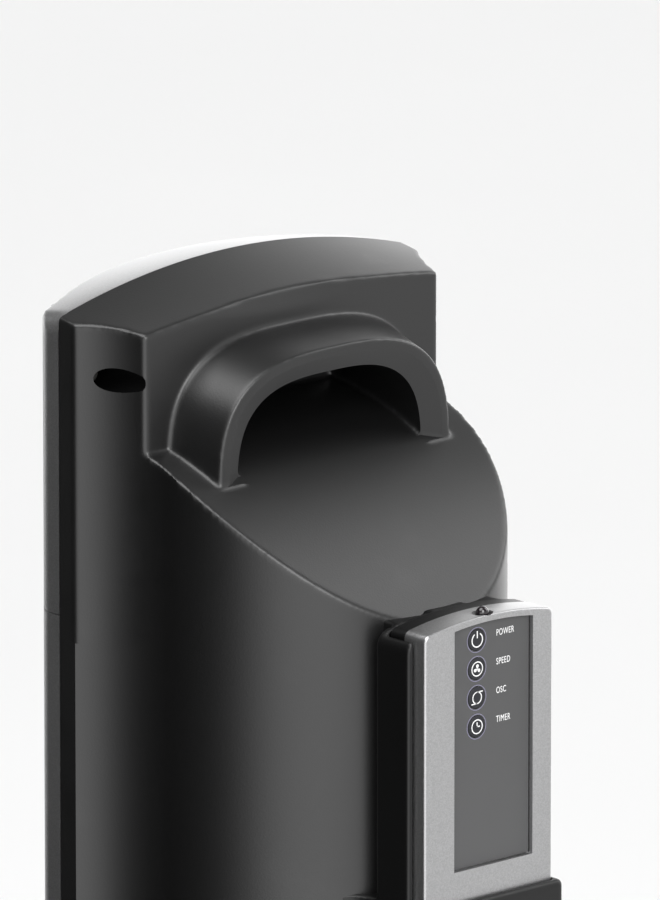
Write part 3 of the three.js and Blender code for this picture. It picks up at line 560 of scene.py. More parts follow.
def above(surface, near, far, across, along):
    """A tall body whose underside is a surface given by its height over X and Y."""
    bm = bmesh.new()
    bmesh.ops.create_grid(bm, x_segments=across, y_segments=along, size=1)
    for vert in bm.verts:
        vert.co = (vert.co.x * 90 * MM, near + (vert.co.y + 1) / 2 * (far - near), 0)
        vert.co.z = surface(vert.co.x, vert.co.y)
    pull(bm, (0, 0, TALL))
    return bm


def tunnel(form, near, far):
    """A tapering tunnel whose section is a superellipse of the third power."""
    bm = bmesh.new()
    bmesh.ops.create_circle(bm, cap_ends=True, segments=128, radius=1)
    pull(bm, (0, 0, 1))
    start, end = form["y"]
    for vert in bm.verts:
        across = math.copysign(abs(vert.co.x) ** SUPER, vert.co.x)
        up = math.copysign(abs(vert.co.y) ** SUPER, vert.co.y)
        y = near + vert.co.z * (far - near)
        part = (y - start) / (end - start)
        half, height, foot = (form[k][0] + part * (form[k][1] - form[k][0])
                              for k in ("half", "height", "foot"))
        vert.co = (half * MM * across, y, SEAM_Z + foot * MM + height * MM * up)
    bmesh.ops.recalc_face_normals(bm, faces=bm.faces)
    return bm


def trim(piece, at, way):
    """Cuts a piece off flat at a plane, keeps the side that the plane looks to, and closes the cut."""
    bm = bmesh.new()
    bm.from_mesh(piece.data)
    bmesh.ops.bisect_plane(bm, geom=bm.verts[:] + bm.edges[:] + bm.faces[:], plane_co=at, plane_no=way,
                           clear_inner=True)
    bmesh.ops.holes_fill(bm, edges=[e for e in bm.edges if e.is_boundary])
    bm.to_mesh(piece.data)
    bm.free()
    return piece


def window_sector():
    """The sector of the rear that the grille's opening takes."""
    angle = math.radians(WINDOW_ANGLE)
    reach = 120 * MM
    wire = Wire(0, 0).line(reach * math.sin(angle), reach * math.cos(angle))
    return wire.line(0, reach).mirror().raised(WINDOW_Z, WINDOW_TOP)


def screw_ways(piece, z):
    """Bores that take a pair of shell screws."""
    for x in (SCREW_X, -SCREW_X):
        carve(piece, rod(SCREW_HOLE_R, (x, SEAM_Y + 5 * MM, z), (x, 25 * MM, z), 40))


def make_shell_top():
    """Cap, hood and sloping top: carried past the seam and the join, moulded, then cut off flat at both."""
    look = bpy.context.scene.fan_look
    body = to_object("shell_top", rear_plan(0, SPARE).raised(JOIN_Z - SPARE, SEAM_Z + CROWN + 3 * MM))
    carve(body, above(cap_z, -80 * MM, 0, 48, 16))
    carve(body, above(slope_over, PANEL_Y, 100 * MM, 2, 48))
    carve(body, tunnel(HOOD, PANEL_Y - 4 * MM, HOOD["y"][1]), "UNION")
    way = to_object("way", tunnel(FINGER_WAY, *FINGER_WAY["y"]))
    carve(way, above(slope_over, -45 * MM, 40 * MM, 2, 40), "INTERSECT")
    carve(body, taken(way))
    thumb_z = SEAM_Z - THUMB_DEPTH + THUMB_R
    thumb = rod(THUMB_R, (0, PANEL_Y - 12 * MM, thumb_z), (0, PANEL_Y + 1 * MM, thumb_z), 360)
    for vert in thumb.verts:
        vert.co.z += THUMB_STEEP * (PANEL_Y - vert.co.y)
    carve(body, thumb)
    moulded(body, look.shell_voxel, 7)
    screw_ways(body, SCREW_TOP_Z)
    sink = to_object("sink", tunnel(HOOD_SINK, *HOOD_SINK["y"]))
    carve(sink, above(slope_over, 0, 20 * MM, 2, 20), "INTERSECT")
    carve(body, taken(sink))
    trim(body, (0, SEAM_Y, 0), (0, 1, 0))
    return trim(body, (0, 0, JOIN_Z), (0, 0, 1))


def make_shell_low():
    """Hollow tower wall with the grille's opening and the lower screw bosses."""
    body = to_object("shell_low", rear_plan().raised(SHELL_LOW.z, JOIN_Z))
    carve(body, rear_plan(WALL, 1 * MM).raised(SHELL_LOW.z - 1 * MM, JOIN_Z + 1 * MM))
    carve(body, window_sector())
    boss = to_object("boss", merge(*(rod(BOSS_R, (x, SEAM_Y, SCREW_LOW_Z), (x, -25 * MM, SCREW_LOW_Z), 40)
                                     for x in (SCREW_X, -SCREW_X))))
    carve(boss, rear_plan(1 * MM).raised(SHELL_LOW.z, JOIN_Z), "INTERSECT")
    carve(body, taken(boss), "UNION")
    screw_ways(body, SCREW_LOW_Z)
    return body


class FAN_OT_rear_shell(Operator):
    """Rear shell: domed cap, handle hood, sloping top and hollow tower wall"""
    bl_idname = "fan.rear_shell"
    bl_label = "Rear shell"

    def execute(self, context):
        shell = to_object("rear_shell_moulding", merge(taken(make_shell_top()), taken(make_shell_low())))
        by_angle(shell, 40)
        finished(shell, MATERIALS["shell"], "tower", "black_plastic", "rear_shell")
        # the walls of the screw bores take the painted-shade finish, which stands in for the shade inside the
        # bores
        shell.data.materials.append(MATERIALS["recess"])
        for face in shell.data.polygons:
            well = min(SCREW_TOP_Z, SCREW_LOW_Z, key=lambda z: abs(z - face.center.z))
            off = math.hypot(abs(face.center.x) - SCREW_X, face.center.z - well)
            face.material_index = int(off < SCREW_HOLE_R + 0.3 * MM and abs(face.normal.y) < 0.2)
        return {"FINISHED"}


# ---- control head and front ----
HEAD_CORNER = 5 * MM
HEAD_DROP = 6 * MM
ARCH_SIDE_Z = HEAD_LOW.z
FRONT_FAR_Y, HEAD_DEEP_Y, FRAME_FAR_Y = -90 * MM, -56 * MM, -0.1
ARCH_RISE = 24 * MM
ARCH_R = (HALF_W ** 2 + ARCH_RISE ** 2) / (2 * ARCH_RISE)
HEAD_KEY_HOLE_R = 6.35 * MM
HEAD_KEYS = ("power", "speed", "swivel", "timer", "mode")
SLAT_FRONT_Y, SLAT_BACK_Y, OUTLET_SLATS, OUTLET_SLAT_HALF = -0.0765, -0.055, 23, 0.9 * MM
END_BAR = 4 * MM


def arch_rod(grow):
    """The cylinder whose top is the arched line between the head and the frame."""
    z = ARCH_SIDE_Z + ARCH_RISE - ARCH_R
    return rod(ARCH_R + grow, (0, -120 * MM, z), (0, 0, z), 360)


def head_top(x, y):
    """Height of the head's top, which carries on from the cap, falls forward and rounds off at the sides."""
    ahead = max((SEAM_Y - y) / (SEAM_Y - FRONT_LOW.y), 0)
    beyond = min(max(abs(x) - HALF_W + HEAD_CORNER, 0), HEAD_CORNER)
    side = HEAD_CORNER - math.sqrt(HEAD_CORNER ** 2 - beyond ** 2)
    return cap_z(x, SEAM_Y) - HEAD_DROP * ahead ** 1.6 - side


class FAN_OT_front_head(Operator):
    """Silver control head with its key holes and display window"""
    bl_idname = "fan.front_head"
    bl_label = "Control head"

    def execute(self, context):
        look = context.scene.fan_look
        head = to_object("front_head_moulding",
                         front_plan(0, SPARE).raised(ARCH_SIDE_Z - SPARE, SHELL_HIGH.z + 3 * MM))
        carve(head, above(head_top, FRONT_FAR_Y, SEAM_Y + SPARE, 160, 60))
        inner = to_object("inner", front_plan(WALL, SPARE + 1 * MM).raised(ARCH_SIDE_Z - 40 * MM,
                                                                           SHELL_HIGH.z))
        carve(inner, above(lambda x, y: head_top(x, y) - WALL, FRONT_FAR_Y, SEAM_Y + 2 * SPARE, 80, 30))
        carve(head, taken(inner))
        for name in HEAD_KEYS:
            at = key_at(f"head_button_{name}")
            carve(head, rod(HEAD_KEY_HOLE_R, (at.x, FRONT_FAR_Y, at.z), (at.x, HEAD_DEEP_Y, at.z), 48))
        low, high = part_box("display_lens")
        carve(head, block((low.x - GAP, FRONT_FAR_Y, low.z - GAP), (high.x + GAP, HEAD_DEEP_Y, high.z + GAP)))
        moulded(head, look.head_voxel, 3)
        trim(head, (0, SEAM_Y - GAP, 0), (0, -1, 0))
        carve(head, arch_rod(0))
        by_angle(head, 45)
        finished(head, MATERIALS["silver"], "tower", "silver_paint", "front_head")
        return {"FINISHED"}


class FAN_OT_front_frame(Operator):
    """Silver front frame around the outlet"""
    bl_idname = "fan.front_frame"
    bl_label = "Front frame"

    def execute(self, context):
        frame_piece = to_object("front_frame_moulding",
                                front_plan().raised(FRONT_LOW.z, ARCH_SIDE_Z + 30 * MM))
        tool = to_object("arch", arch_rod(-0.5 * MM))
        low, high = (-0.1, -0.125, FRONT_LOW.z - 0.01), (0.1, 0.005, ARCH_SIDE_Z - 0.5 * MM)
        carve(tool, block(low, high), "UNION")
        carve(frame_piece, taken(tool), "INTERSECT")
        carve(frame_piece, front_plan(WALL, 3 * MM).raised(FRONT_LOW.z - 2 * MM, FRONT_HIGH.z - 22 * MM))
        half = OUTLET_HIGH.x + GAP
        carve(frame_piece, block((-half, FRAME_FAR_Y, WINDOW_Z), (half, SEAM_Y - 4 * MM, WINDOW_TOP)))
        bevelled(frame_piece, 0.7 * MM, 3, 40)
        finished(frame_piece, MATERIALS["silver"], "tower", "silver_paint", "front_frame")
        return {"FINISHED"}


class FAN_OT_grilles(Operator):
    """Rear intake grille and front outlet grille, made of upright slats and cross bars"""
    bl_idname = "fan.grilles"
    bl_label = "Grilles"

    def execute(self, context):
        look = context.scene.fan_look
        outer, deep = GRILLE_HIGH.y, 2.2 * MM
        spread = math.radians(WINDOW_ANGLE - 0.4)
        tall = GRILLE_HIGH.z - GRILLE_LOW.z
        bars = []
        count = round(2 * spread * outer / look.slat_pitch)
        for i in range(count + 1):
            angle = -spread + 2 * spread * i / count
            edge = i in (0, count)
            width = 2.4 * MM if edge else 1.5 * MM
            bar = block((-width / 2, outer - deep, GRILLE_LOW.z),
                        (width / 2, outer - 0.15 * MM, GRILLE_HIGH.z), 0.35 * MM, 2)
            turn = angle - math.copysign(width / 2 / outer, angle) if edge else angle
            bmesh.ops.rotate(bar, verts=bar.verts, matrix=Matrix.Rotation(-turn, 3, "Z"))
            bars.append(bar)
        rows = round(tall / look.bar_pitch)
        for i in range(rows + 1):
            thick = END_BAR if i in (0, rows) else 1.6 * MM
            z = GRILLE_LOW.z + thick / 2 + (tall - thick) * i / rows
            ring = bmesh.new()
            face = outer - 0.05 * MM
            section = ((outer - deep, -1), (face, -0.7), (face, 0.7), (outer - deep, 1))
            ring.faces.new([ring.verts.new((r, 0, z + dz * thick / 2)) for r, dz in section])
            start = math.pi / 2 - spread
            bmesh.ops.rotate(ring, verts=ring.verts, matrix=Matrix.Rotation(start, 3, "Z"))
            bmesh.ops.spin(ring, geom=ring.faces[:], cent=(0, 0, 0), axis=(0, 0, 1), angle=2 * spread,
                           steps=36, use_duplicate=False)
            bmesh.ops.recalc_face_normals(ring, faces=ring.faces)
            bars.append(ring)
        rear = by_angle(to_object("rear_grille_slats", merge(*bars)), 40)
        finished(rear, MATERIALS["grille"], "tower", "black_plastic", "rear_grille")
        front, half = [], OUTLET_SLAT_HALF
        for i in range(OUTLET_SLATS):
            x = OUTLET_LOW.x + half + (OUTLET_HIGH.x - OUTLET_LOW.x - 2 * half) * i / (OUTLET_SLATS - 1)
            front.append(block((x - half, SLAT_FRONT_Y, OUTLET_LOW.z),
                               (x + half, SLAT_BACK_Y, OUTLET_HIGH.z)))
        for i in range(rows + 1):
            thick = END_BAR if i in (0, rows) else 1.4 * MM
            z = OUTLET_LOW.z + thick / 2 + (tall - thick) * i / rows
            front.append(block((OUTLET_LOW.x, SLAT_FRONT_Y, z - thick / 2),
                               (OUTLET_HIGH.x, SLAT_BACK_Y, z + thick / 2)))
        slats = to_object("front_grille_slats", merge(*front))
        skin = to_object("skin", front_plan(0.9 * MM).raised(OUTLET_LOW.z - 0.01, OUTLET_HIGH.z + 0.01))
        carve(skin, front_plan(3.4 * MM, 6 * MM).raised(OUTLET_LOW.z - 0.02, OUTLET_HIGH.z + 0.02))
        carve(slats, taken(skin), "INTERSECT", True)
        bevelled(slats, 0.3 * MM, 1, 40)
        finished(slats, MATERIALS["grille"], "tower", "dark_plastic", "front_grille")
        return {"FINISHED"}


# ---- remote control and its pod ----
FACE_Y = REMOTE_HIGH.y
SPLIT_Y = REMOTE_LOW.y
REMOTE_HALF = REMOTE_HIGH.x
SHOULDER = 3.1 * MM
REMOTE_CORNER = 3 * MM
PANEL_LOW, PANEL_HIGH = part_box("remote_label")
PANEL_FACE = PANEL_HIGH.y
TRAY_WALL = 2.8 * MM
TRAY_DROP = 5 * MM
POD_HALF = REMOTE_HALF + GAP + TRAY_WALL
POD_BLEND = 12 * MM
POD_SINK = 1.5 * MM
CUP_RISE, CUP_BACK_Y = 15 * MM, 80 * MM
RAIL_FRONT_Y = 87 * MM
RAIL_ROUND = 1 * MM
SPINE_HALF, SPINE_ROOT_Y = REMOTE_HALF - 5.4 * MM, 40 * MM
LATCH_HALF, LATCH_ROOT_Y, LATCH_DROP = 9 * MM, 60 * MM, 2 * MM
PANEL_INSET = 2.4 * MM
EYE_STRETCH = (1.25, 1, 1)
MARK_T = 0.10 * MM
WORD_HEIGHT, WORD_SQUEEZE, CAPITAL_SHARE = 2.35 * MM, 0.7, 0.7
REMOTE_KEYS = ("power", "speed", "osc", "timer")


def remote_face(inset=0.0):
    """Front view of the remote: a bowed top and small corners, which grow with the outline."""
    half, low, top = REMOTE_HALF - inset, REMOTE_LOW.z + inset, REMOTE_HIGH.z - inset
    bow = (half ** 2 + SHOULDER ** 2) / (2 * SHOULDER)
    r = REMOTE_CORNER - min(inset, 0)
    centre = top - bow
    corner_z = centre + math.sqrt((bow - r) ** 2 - (half - r) ** 2)
    tip = math.degrees(math.atan2(corner_z - centre, half - r))
    wire = Wire(0, low).line(half - r, low).arc(half - r, low + r, 90, 10).line(half, corner_z)
    return wire.arc(half - r, corner_z, tip, 10).arc(0, centre, 90 - tip, 24).mirror()


def front_edges(bm, y):
    """Edges of the outline at one depth."""
    return [e for e in bm.edges if all(abs(v.co.y - y) < 0.01 * MM for v in e.verts)]


class FAN_OT_remote_shells(Operator):
    """Silver front half, black back half, battery cover and infra-red dome of the remote"""
    bl_idname = "fan.remote_shells"
    bl_label = "Remote shells"

    def execute(self, context):
        bm = remote_face().carried(SPLIT_Y, FACE_Y)
        round_edges(bm, front_edges(bm, FACE_Y), 1.0 * MM, 4)
        front = to_object("remote_front_moulding", bm)
        recess = to_object("recess",
                           remote_face(PANEL_INSET).carried(PANEL_FACE - 0.9 * MM, FACE_Y + 5 * MM))
        sides = block((PANEL_LOW.x - GAP, PANEL_FACE - 3 * MM, PANEL_LOW.z - GAP),
                      (PANEL_HIGH.x + GAP, FACE_Y + 9 * MM, REMOTE_HIGH.z + 9 * MM))
        carve(recess, sides, "INTERSECT")
        bm = taken(recess)
        upright = [e for e in bm.edges if abs(e.verts[0].co.y - e.verts[1].co.y) > 3 * MM
                   and e.calc_face_angle(0) > 0.5]
        round_edges(bm, upright, 1.1 * MM, 4)
        carve(front, bm)
        dome = key_at("remote_ir_lens")
        middle, top = Matrix.Translation((0, -dome.y, 0)), REMOTE_HIGH.z
        seat = rod(3.4 * MM, (0, dome.y, top - 1.1 * MM), (0, dome.y, top + 5 * MM), 40)
        bmesh.ops.scale(seat, verts=seat.verts, vec=EYE_STRETCH, space=middle)
        carve(front, seat)
        bevelled(front, 0.28 * MM, 2, 40)
        finished(front, MATERIALS["silver"], "remote", "silver_paint", "remote_front")
        collar = rod(3.3 * MM, (0, dome.y, top - 1.2 * MM), (0, dome.y, top - 0.7 * MM), 40)
        bmesh.ops.scale(collar, verts=collar.verts, vec=EYE_STRETCH, space=middle)
        lens = bmesh.new()
        bmesh.ops.create_uvsphere(lens, u_segments=40, v_segments=24, radius=2.3 * MM)
        bmesh.ops.scale(lens, verts=lens.verts, vec=(1.1, 1, 1.15))
        bmesh.ops.translate(lens, verts=lens.verts, vec=(0, dome.y, top - 0.3 * MM))
        eye = by_angle(to_object("remote_ir_dome", merge(collar, lens)), 40)
        finished(eye, MATERIALS["window"], "remote", "smoked_window", "remote_ir_lens")
        bm = remote_face(0.25 * MM).carried(BACK_LOW.y, SPLIT_Y - 0.3 * MM)
        round_edges(bm, front_edges(bm, BACK_LOW.y), 1.6 * MM, 4)
        back = to_object("remote_back_moulding", bm)
        low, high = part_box("remote_battery_cover")
        carve(back, block((low.x - GAP, low.y - 1, low.z - GAP),
                          (high.x + GAP, low.y + 1.9 * MM, high.z + GAP)))
        bevelled(back, 0.25 * MM, 2, 40)
        finished(back, MATERIALS["pod"], "remote", "black_plastic", "remote_back", "remote_board",
                 "remote_battery_1", "remote_battery_2")
        cover = to_object("battery_cover_plate", block(low, high, 0.3 * MM))
        for i in range(5):
            z = high.z - 6 * MM - i * 1.6 * MM
            carve(cover, block((-7 * MM, low.y - 1 * MM, z), (7 * MM, low.y + 0.5 * MM, z + 0.7 * MM)))
        bevelled(cover, 0.12 * MM, 1, 40)
        finished(cover, MATERIALS["pod"], "remote", "black_plastic", "remote_battery_cover")
        return {"FINISHED"}


def flat_mark(points):
    """A thin raised mark in X and Z from an outline of points around (0, 0)."""
    bm = bmesh.new()
    bm.faces.new([bm.verts.new((x, 0, z)) for x, z in points])
    pull(bm, (0, MARK_T, 0))
    return bm


def ring_mark(inner, outer, start=0, end=360, steps=48):
    """A ring or part of one, as a thin raised mark."""
    bm = bmesh.new()
    section = ((inner, 0), (outer, 0), (outer, MARK_T), (inner, MARK_T))
    bm.faces.new([bm.verts.new((r, y, 0)) for r, y in section])
    bmesh.ops.rotate(bm, verts=bm.verts, matrix=Matrix.Rotation(-math.radians(start), 3, "Y"))
    whole = end - start >= 360
    bmesh.ops.spin(bm, geom=bm.faces[:], cent=(0, 0, 0), axis=(0, -1, 0), angle=math.radians(end - start),
                   steps=steps, use_merge=whole, use_duplicate=False)
    if whole:
        inside = [f for f in bm.faces if all(abs(v.co.z) < 1e-7 and v.co.x > 0 for v in f.verts)]
        bmesh.ops.delete(bm, geom=inside, context="FACES_ONLY")
        bmesh.ops.remove_doubles(bm, verts=bm.verts, dist=0.001 * MM)
    bmesh.ops.recalc_face_normals(bm, faces=bm.faces)
    return bm


def moved(bm, x, z):
    """A mark or outline shifted in its face."""
    bmesh.ops.translate(bm, verts=bm.verts, vec=(x, 0, z))
    return bm


def spun(bm, degrees):
    """A mark turned about its key's middle."""
    bmesh.ops.rotate(bm, verts=bm.verts, matrix=Matrix.Rotation(math.radians(degrees), 3, "Y"))
    return bm


def stroke(half_w, low, high):
    """An upright stroke of a mark."""
    return flat_mark([(-half_w, low), (half_w, low), (half_w, high), (-half_w, high)])


def power_mark():
    return [ring_mark(2.3 * MM, 2.75 * MM, 120, 420), stroke(0.23 * MM, 0.7 * MM, 3.3 * MM)]


def speed_mark():
    blade = [(0.1, 0.15), (0.65, 0.7), (0.75, 1.35), (0.2, 1.75), (-0.45, 1.4), (-0.5, 0.7)]
    marks = [spun(flat_mark([(x * MM, z * MM) for x, z in blade]), 120 * i) for i in range(3)]
    return [*marks, ring_mark(2.35 * MM, 2.75 * MM), ring_mark(0.01 * MM, 0.35 * MM)]


def swing_mark():
    tails = [spun(moved(stroke(0.2 * MM, -2.7 * MM, 0), 2.1 * MM, 0), turn) for turn in (-90, 90)]
    return [ring_mark(1.9 * MM, 2.3 * MM), *tails]


def clock_mark():
    return [ring_mark(2.3 * MM, 2.7 * MM), stroke(0.22 * MM, -0.22 * MM, 1.6 * MM),
            spun(stroke(0.22 * MM, -0.22 * MM, 1.3 * MM), 90)]


MARKS = {"power": power_mark, "speed": speed_mark, "osc": swing_mark, "timer": clock_mark}


def lettering(name, at):
    """A key's name in capitals on a face that looks along +Y, as a mesh."""
    curve = bpy.data.curves.new(name, "FONT")
    curve.body = name.upper()
    curve.size = WORD_HEIGHT / CAPITAL_SHARE
    curve.extrude = 0.04 * MM
    curve.space_character = 1.1
    text = bpy.data.objects.new(name, curve)
    bpy.context.scene.collection.objects.link(text)
    bpy.context.view_layer.update()
    mesh = bpy.data.meshes.new_from_object(text.evaluated_get(bpy.context.evaluated_depsgraph_get()))
    bpy.data.objects.remove(text)
    bpy.data.curves.remove(curve)
    turn = Matrix(((-WORD_SQUEEZE, 0, 0), (0, 0, 1), (0, 1, 0))).to_4x4()
    mesh.transform(Matrix.Translation(at) @ turn)
    bm = bmesh.new()
    bm.from_mesh(mesh)
    bpy.data.meshes.remove(mesh)
    bmesh.ops.remove_doubles(bm, verts=bm.verts, dist=0.002 * MM)
    return bm


class FAN_OT_remote_keys(Operator):
    """Key panel of the remote, its round keys with their signs, rings and words"""
    bl_idname = "fan.remote_keys"
    bl_label = "Remote keys"

    def execute(self, context):
        plate = to_object("key_panel_plate", remote_face(PANEL_INSET + GAP).carried(PANEL_LOW.y, PANEL_FACE))
        sides = block((PANEL_LOW.x, 0, PANEL_LOW.z), (PANEL_HIGH.x, FAR, REMOTE_HIGH.z + 1 * MM))
        carve(plate, sides, "INTERSECT")
        rings, words = [], []
        for name in REMOTE_KEYS:
            at = key_at(f"remote_button_{name}")
            carve(plate, rod(4.15 * MM, (at.x, PANEL_LOW.y - 9 * MM, at.z), (at.x, FACE_Y, at.z), 64))
            ring = moved(ring_mark(4.4 * MM, 4.7 * MM), at.x, at.z)
            bmesh.ops.translate(ring, verts=ring.verts, vec=(0, PANEL_FACE - 0.02 * MM, 0))
            rings.append(ring)
            words.append(lettering(name, (-5.1 * MM, PANEL_FACE + 0.03 * MM, at.z - 0.2 * MM)))
            low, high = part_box(f"remote_button_{name}")
            key = rod(4.0 * MM, (at.x, low.y, at.z), (at.x, high.y - 0.9 * MM, at.z), 64)
            rim = [e for e in sharp_edges(key) if e.verts[0].co.y > at.y]
            round_edges(key, rim, 0.5 * MM, 4)
            finished(by_angle(to_object(f"remote_key_{name}_cap", key)), MATERIALS["key"],
                     f"remote_key_{name}", "key_caps", f"remote_button_{name}")
            sign = merge(*(moved(part, at.x, at.z) for part in MARKS[name]()))
            bmesh.ops.scale(sign, verts=sign.verts, vec=(-1, 1, 1), space=Matrix.Translation((-at.x, 0, 0)))
            bmesh.ops.recalc_face_normals(sign, faces=sign.faces)
            bmesh.ops.translate(sign, verts=sign.verts, vec=(0, high.y - 0.93 * MM, 0))
            finished(to_object(f"remote_key_{name}_sign", sign, False), MATERIALS["ink"],
                     f"remote_key_{name}", "key_caps")
        bevelled(plate, 0.1 * MM, 1, 40)
        finished(plate, MATERIALS["panel"], "remote", "label_panel", "remote_label")
        finished(to_object("key_rings", merge(*rings), False), MATERIALS["ring"], "remote", "label_panel")
        finished(to_object("key_words", merge(*words), False), MATERIALS["ink"], "remote", "label_panel")
        return {"FINISHED"}


def pod_plan():
    """The cup's plan, whose sides sweep out into the round back."""
    reach = BODY_R + POD_BLEND
    blend_x = POD_HALF + POD_BLEND
    blend_y = math.sqrt(reach ** 2 - blend_x ** 2)
    turn = math.degrees(math.acos(blend_x / reach))
    wire = Wire(0, RAIL_FRONT_Y).line(POD_HALF - RAIL_ROUND, RAIL_FRONT_Y)
    wire.arc(POD_HALF - RAIL_ROUND, RAIL_FRONT_Y - RAIL_ROUND, -90, 5).line(POD_HALF, blend_y)
    wire.arc(blend_x, blend_y, turn, 14)
    end = wire.last.co
    return wire.line(end.x, end.y - 6 * MM).line(0, end.y - 6 * MM).mirror()


class FAN_OT_remote_pod(Operator):
    """Pod on the tower's back: a cup for the remote's foot, a tray on a spine and a latch"""
    bl_idname = "fan.remote_pod"
    bl_label = "Remote pod"

    def execute(self, context):
        look = context.scene.fan_look
        side, back = REMOTE_HALF + GAP, BACK_LOW.y - GAP
        cup_top = REMOTE_LOW.z + CUP_RISE
        pod = to_object("remote_pod_moulding", pod_plan().raised(POD_LOW.z, cup_top))
        lip = block((-POD_HALF, CUP_BACK_Y, POD_LOW.z), (POD_HALF, POD_HIGH.y, cup_top), 2 * MM, 3)
        spine = block((-SPINE_HALF, SPINE_ROOT_Y, POD_LOW.z), (SPINE_HALF, back, REMOTE_HIGH.z - 3 * MM))
        tray = remote_face(-GAP - TRAY_WALL).carried(back - TRAY_WALL, RAIL_FRONT_Y)
        tray = to_object("tray", moved(tray, 0, -TRAY_DROP))
        carve(tray, block((-POD_HALF, 0, POD_LOW.z), (POD_HALF, FACE_Y, SEAM_Z)), "INTERSECT")
        latch = block((-LATCH_HALF, LATCH_ROOT_Y, REMOTE_HIGH.z - 20 * MM),
                      (LATCH_HALF, back, POD_HIGH.z - LATCH_DROP))
        for part in (lip, spine, taken(tray), latch):
            carve(pod, part, "UNION")
        carve(pod, block((-side, back, REMOTE_LOW.z - GAP), (side, FACE_Y + GAP, SEAM_Z)))
        carve(pod, block((-side, CUP_BACK_Y, cup_top - 0.1 * MM), (side, FAR, SEAM_Z)))
        carve(pod, rod(BODY_R - POD_SINK, (0, 0, POD_LOW.z - 0.1), (0, 0, SEAM_Z), 256))
        moulded(pod, look.pod_voxel, 4)
        finished(pod, MATERIALS["pod"], "tower", "black_plastic", "remote_pod")
        return {"FINISHED"}


# ---- base, turntable and small parts ----
BASE_BOSS_R, BASE_HOLE_R, BASE_RIM_R, BASE_SWEEP_BEND = 78 * MM, 62 * MM, 12 * MM, 1.25
RING_IN_R = 65 * MM


class FAN_OT_base(Operator):
    """Round base with its turned edge, turntable and slide ring"""
    bl_idname = "fan.base"
    bl_label = "Base"

    def execute(self, context):
        radius, low, top = BASE_HIGH.x, BASE_LOW.z, BASE_HIGH.z
        boss, hole, rim = BASE_BOSS_R, BASE_HOLE_R, BASE_RIM_R
        profile = [(radius, low), (radius, low + 4 * MM)]
        profile += [(radius - rim + rim * math.cos(a), low + 7 * MM + rim * math.sin(a) * 0.95)
                    for a in (math.radians(7.5 * i) for i in range(1, 12))]
        sweep = [(i / 20, radius - rim - (radius - rim - boss - 3 * MM) * i / 20) for i in range(1, 21)]
        rise = top - low - 23 * MM
        profile += [(r, low + 18.4 * MM + rise * part ** BASE_SWEEP_BEND) for part, r in sweep]
        profile += [(boss, top - 3 * MM), (boss - 0.4 * MM, top - 1.2 * MM),
                    (boss - 1.5 * MM, top - 0.3 * MM), (boss - 3 * MM, top),
                    (hole + 1 * MM, top), (hole, top - 1 * MM)]
        inner = [(max(r - (WALL if z < low + 18 * MM else 0), hole), z - (WALL if z > low + 6 * MM else 0))
                 for r, z in profile]
        cover = to_object("base_dome", turned([*profile, *reversed(inner), profile[0]], 160))
        gland = key_at("cord_gland")
        carve(cover, rod(5.4 * MM, (0, radius - 30 * MM, gland.z), (0, radius + 10 * MM, gland.z), 40))
        finished(by_angle(cover, 40), MATERIALS["base"], "base", "black_plastic", "base_cover")
        low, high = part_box("slide_ring")
        ring = turned([(RING_IN_R, low.z), (high.x, low.z), (high.x, high.z), (RING_IN_R, high.z),
                       (RING_IN_R, low.z)])
        finished(bevelled(to_object("slide_ring_turned", ring), 0.3 * MM), MATERIALS["nylon"], "base",
                 "white_nylon", "slide_ring")
        finished(refined("turntable_moulding", "turntable", 0.6 * MM), MATERIALS["base"], "tower",
                 "black_plastic", "turntable")
        for i in range(1, 5):
            low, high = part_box(f"foot_{i}")
            pad = rod((high.x - low.x) / 2, *((*((low + high) / 2).xy, z) for z in (low.z, high.z)), 48)
            finished(bevelled(to_object(f"foot_pad_{i}", pad), 0.6 * MM, 3), MATERIALS["rubber"], "base",
                     "rubber", f"foot_{i}")
        finished(refined("cord_gland_sleeve", "cord_gland", 0.4 * MM), MATERIALS["rubber"], "base", "rubber",
                 "cord_gland")
        return {"FINISHED"}


class FAN_OT_head_keys(Operator):
    """Keys and display window of the control head"""
    bl_idname = "fan.head_keys"
    bl_label = "Head keys"

    def execute(self, context):
        for name in HEAD_KEYS:
            low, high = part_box(f"head_button_{name}")
            at = (low + high) / 2
            key = rod((high.x - low.x) / 2, (at.x, high.y, at.z), (at.x, low.y, at.z), 64)
            rim = [e for e in sharp_edges(key) if e.verts[0].co.y < at.y]
            round_edges(key, rim, 0.8 * MM, 4)
            front = [f for f in key.faces if f.normal.y < -0.9]
            bmesh.ops.inset_region(key, faces=front, thickness=1.2 * MM, depth=-0.25 * MM)
            finished(by_angle(to_object(f"head_key_{name}_cap", key)), MATERIALS["key"], f"head_key_{name}",
                     "key_caps", f"head_button_{name}")
        lens = refined("display_window", "display_lens", 0.25 * MM, 40)
        finished(lens, MATERIALS["window"], "tower", "smoked_window", "display_lens")
        return {"FINISHED"}


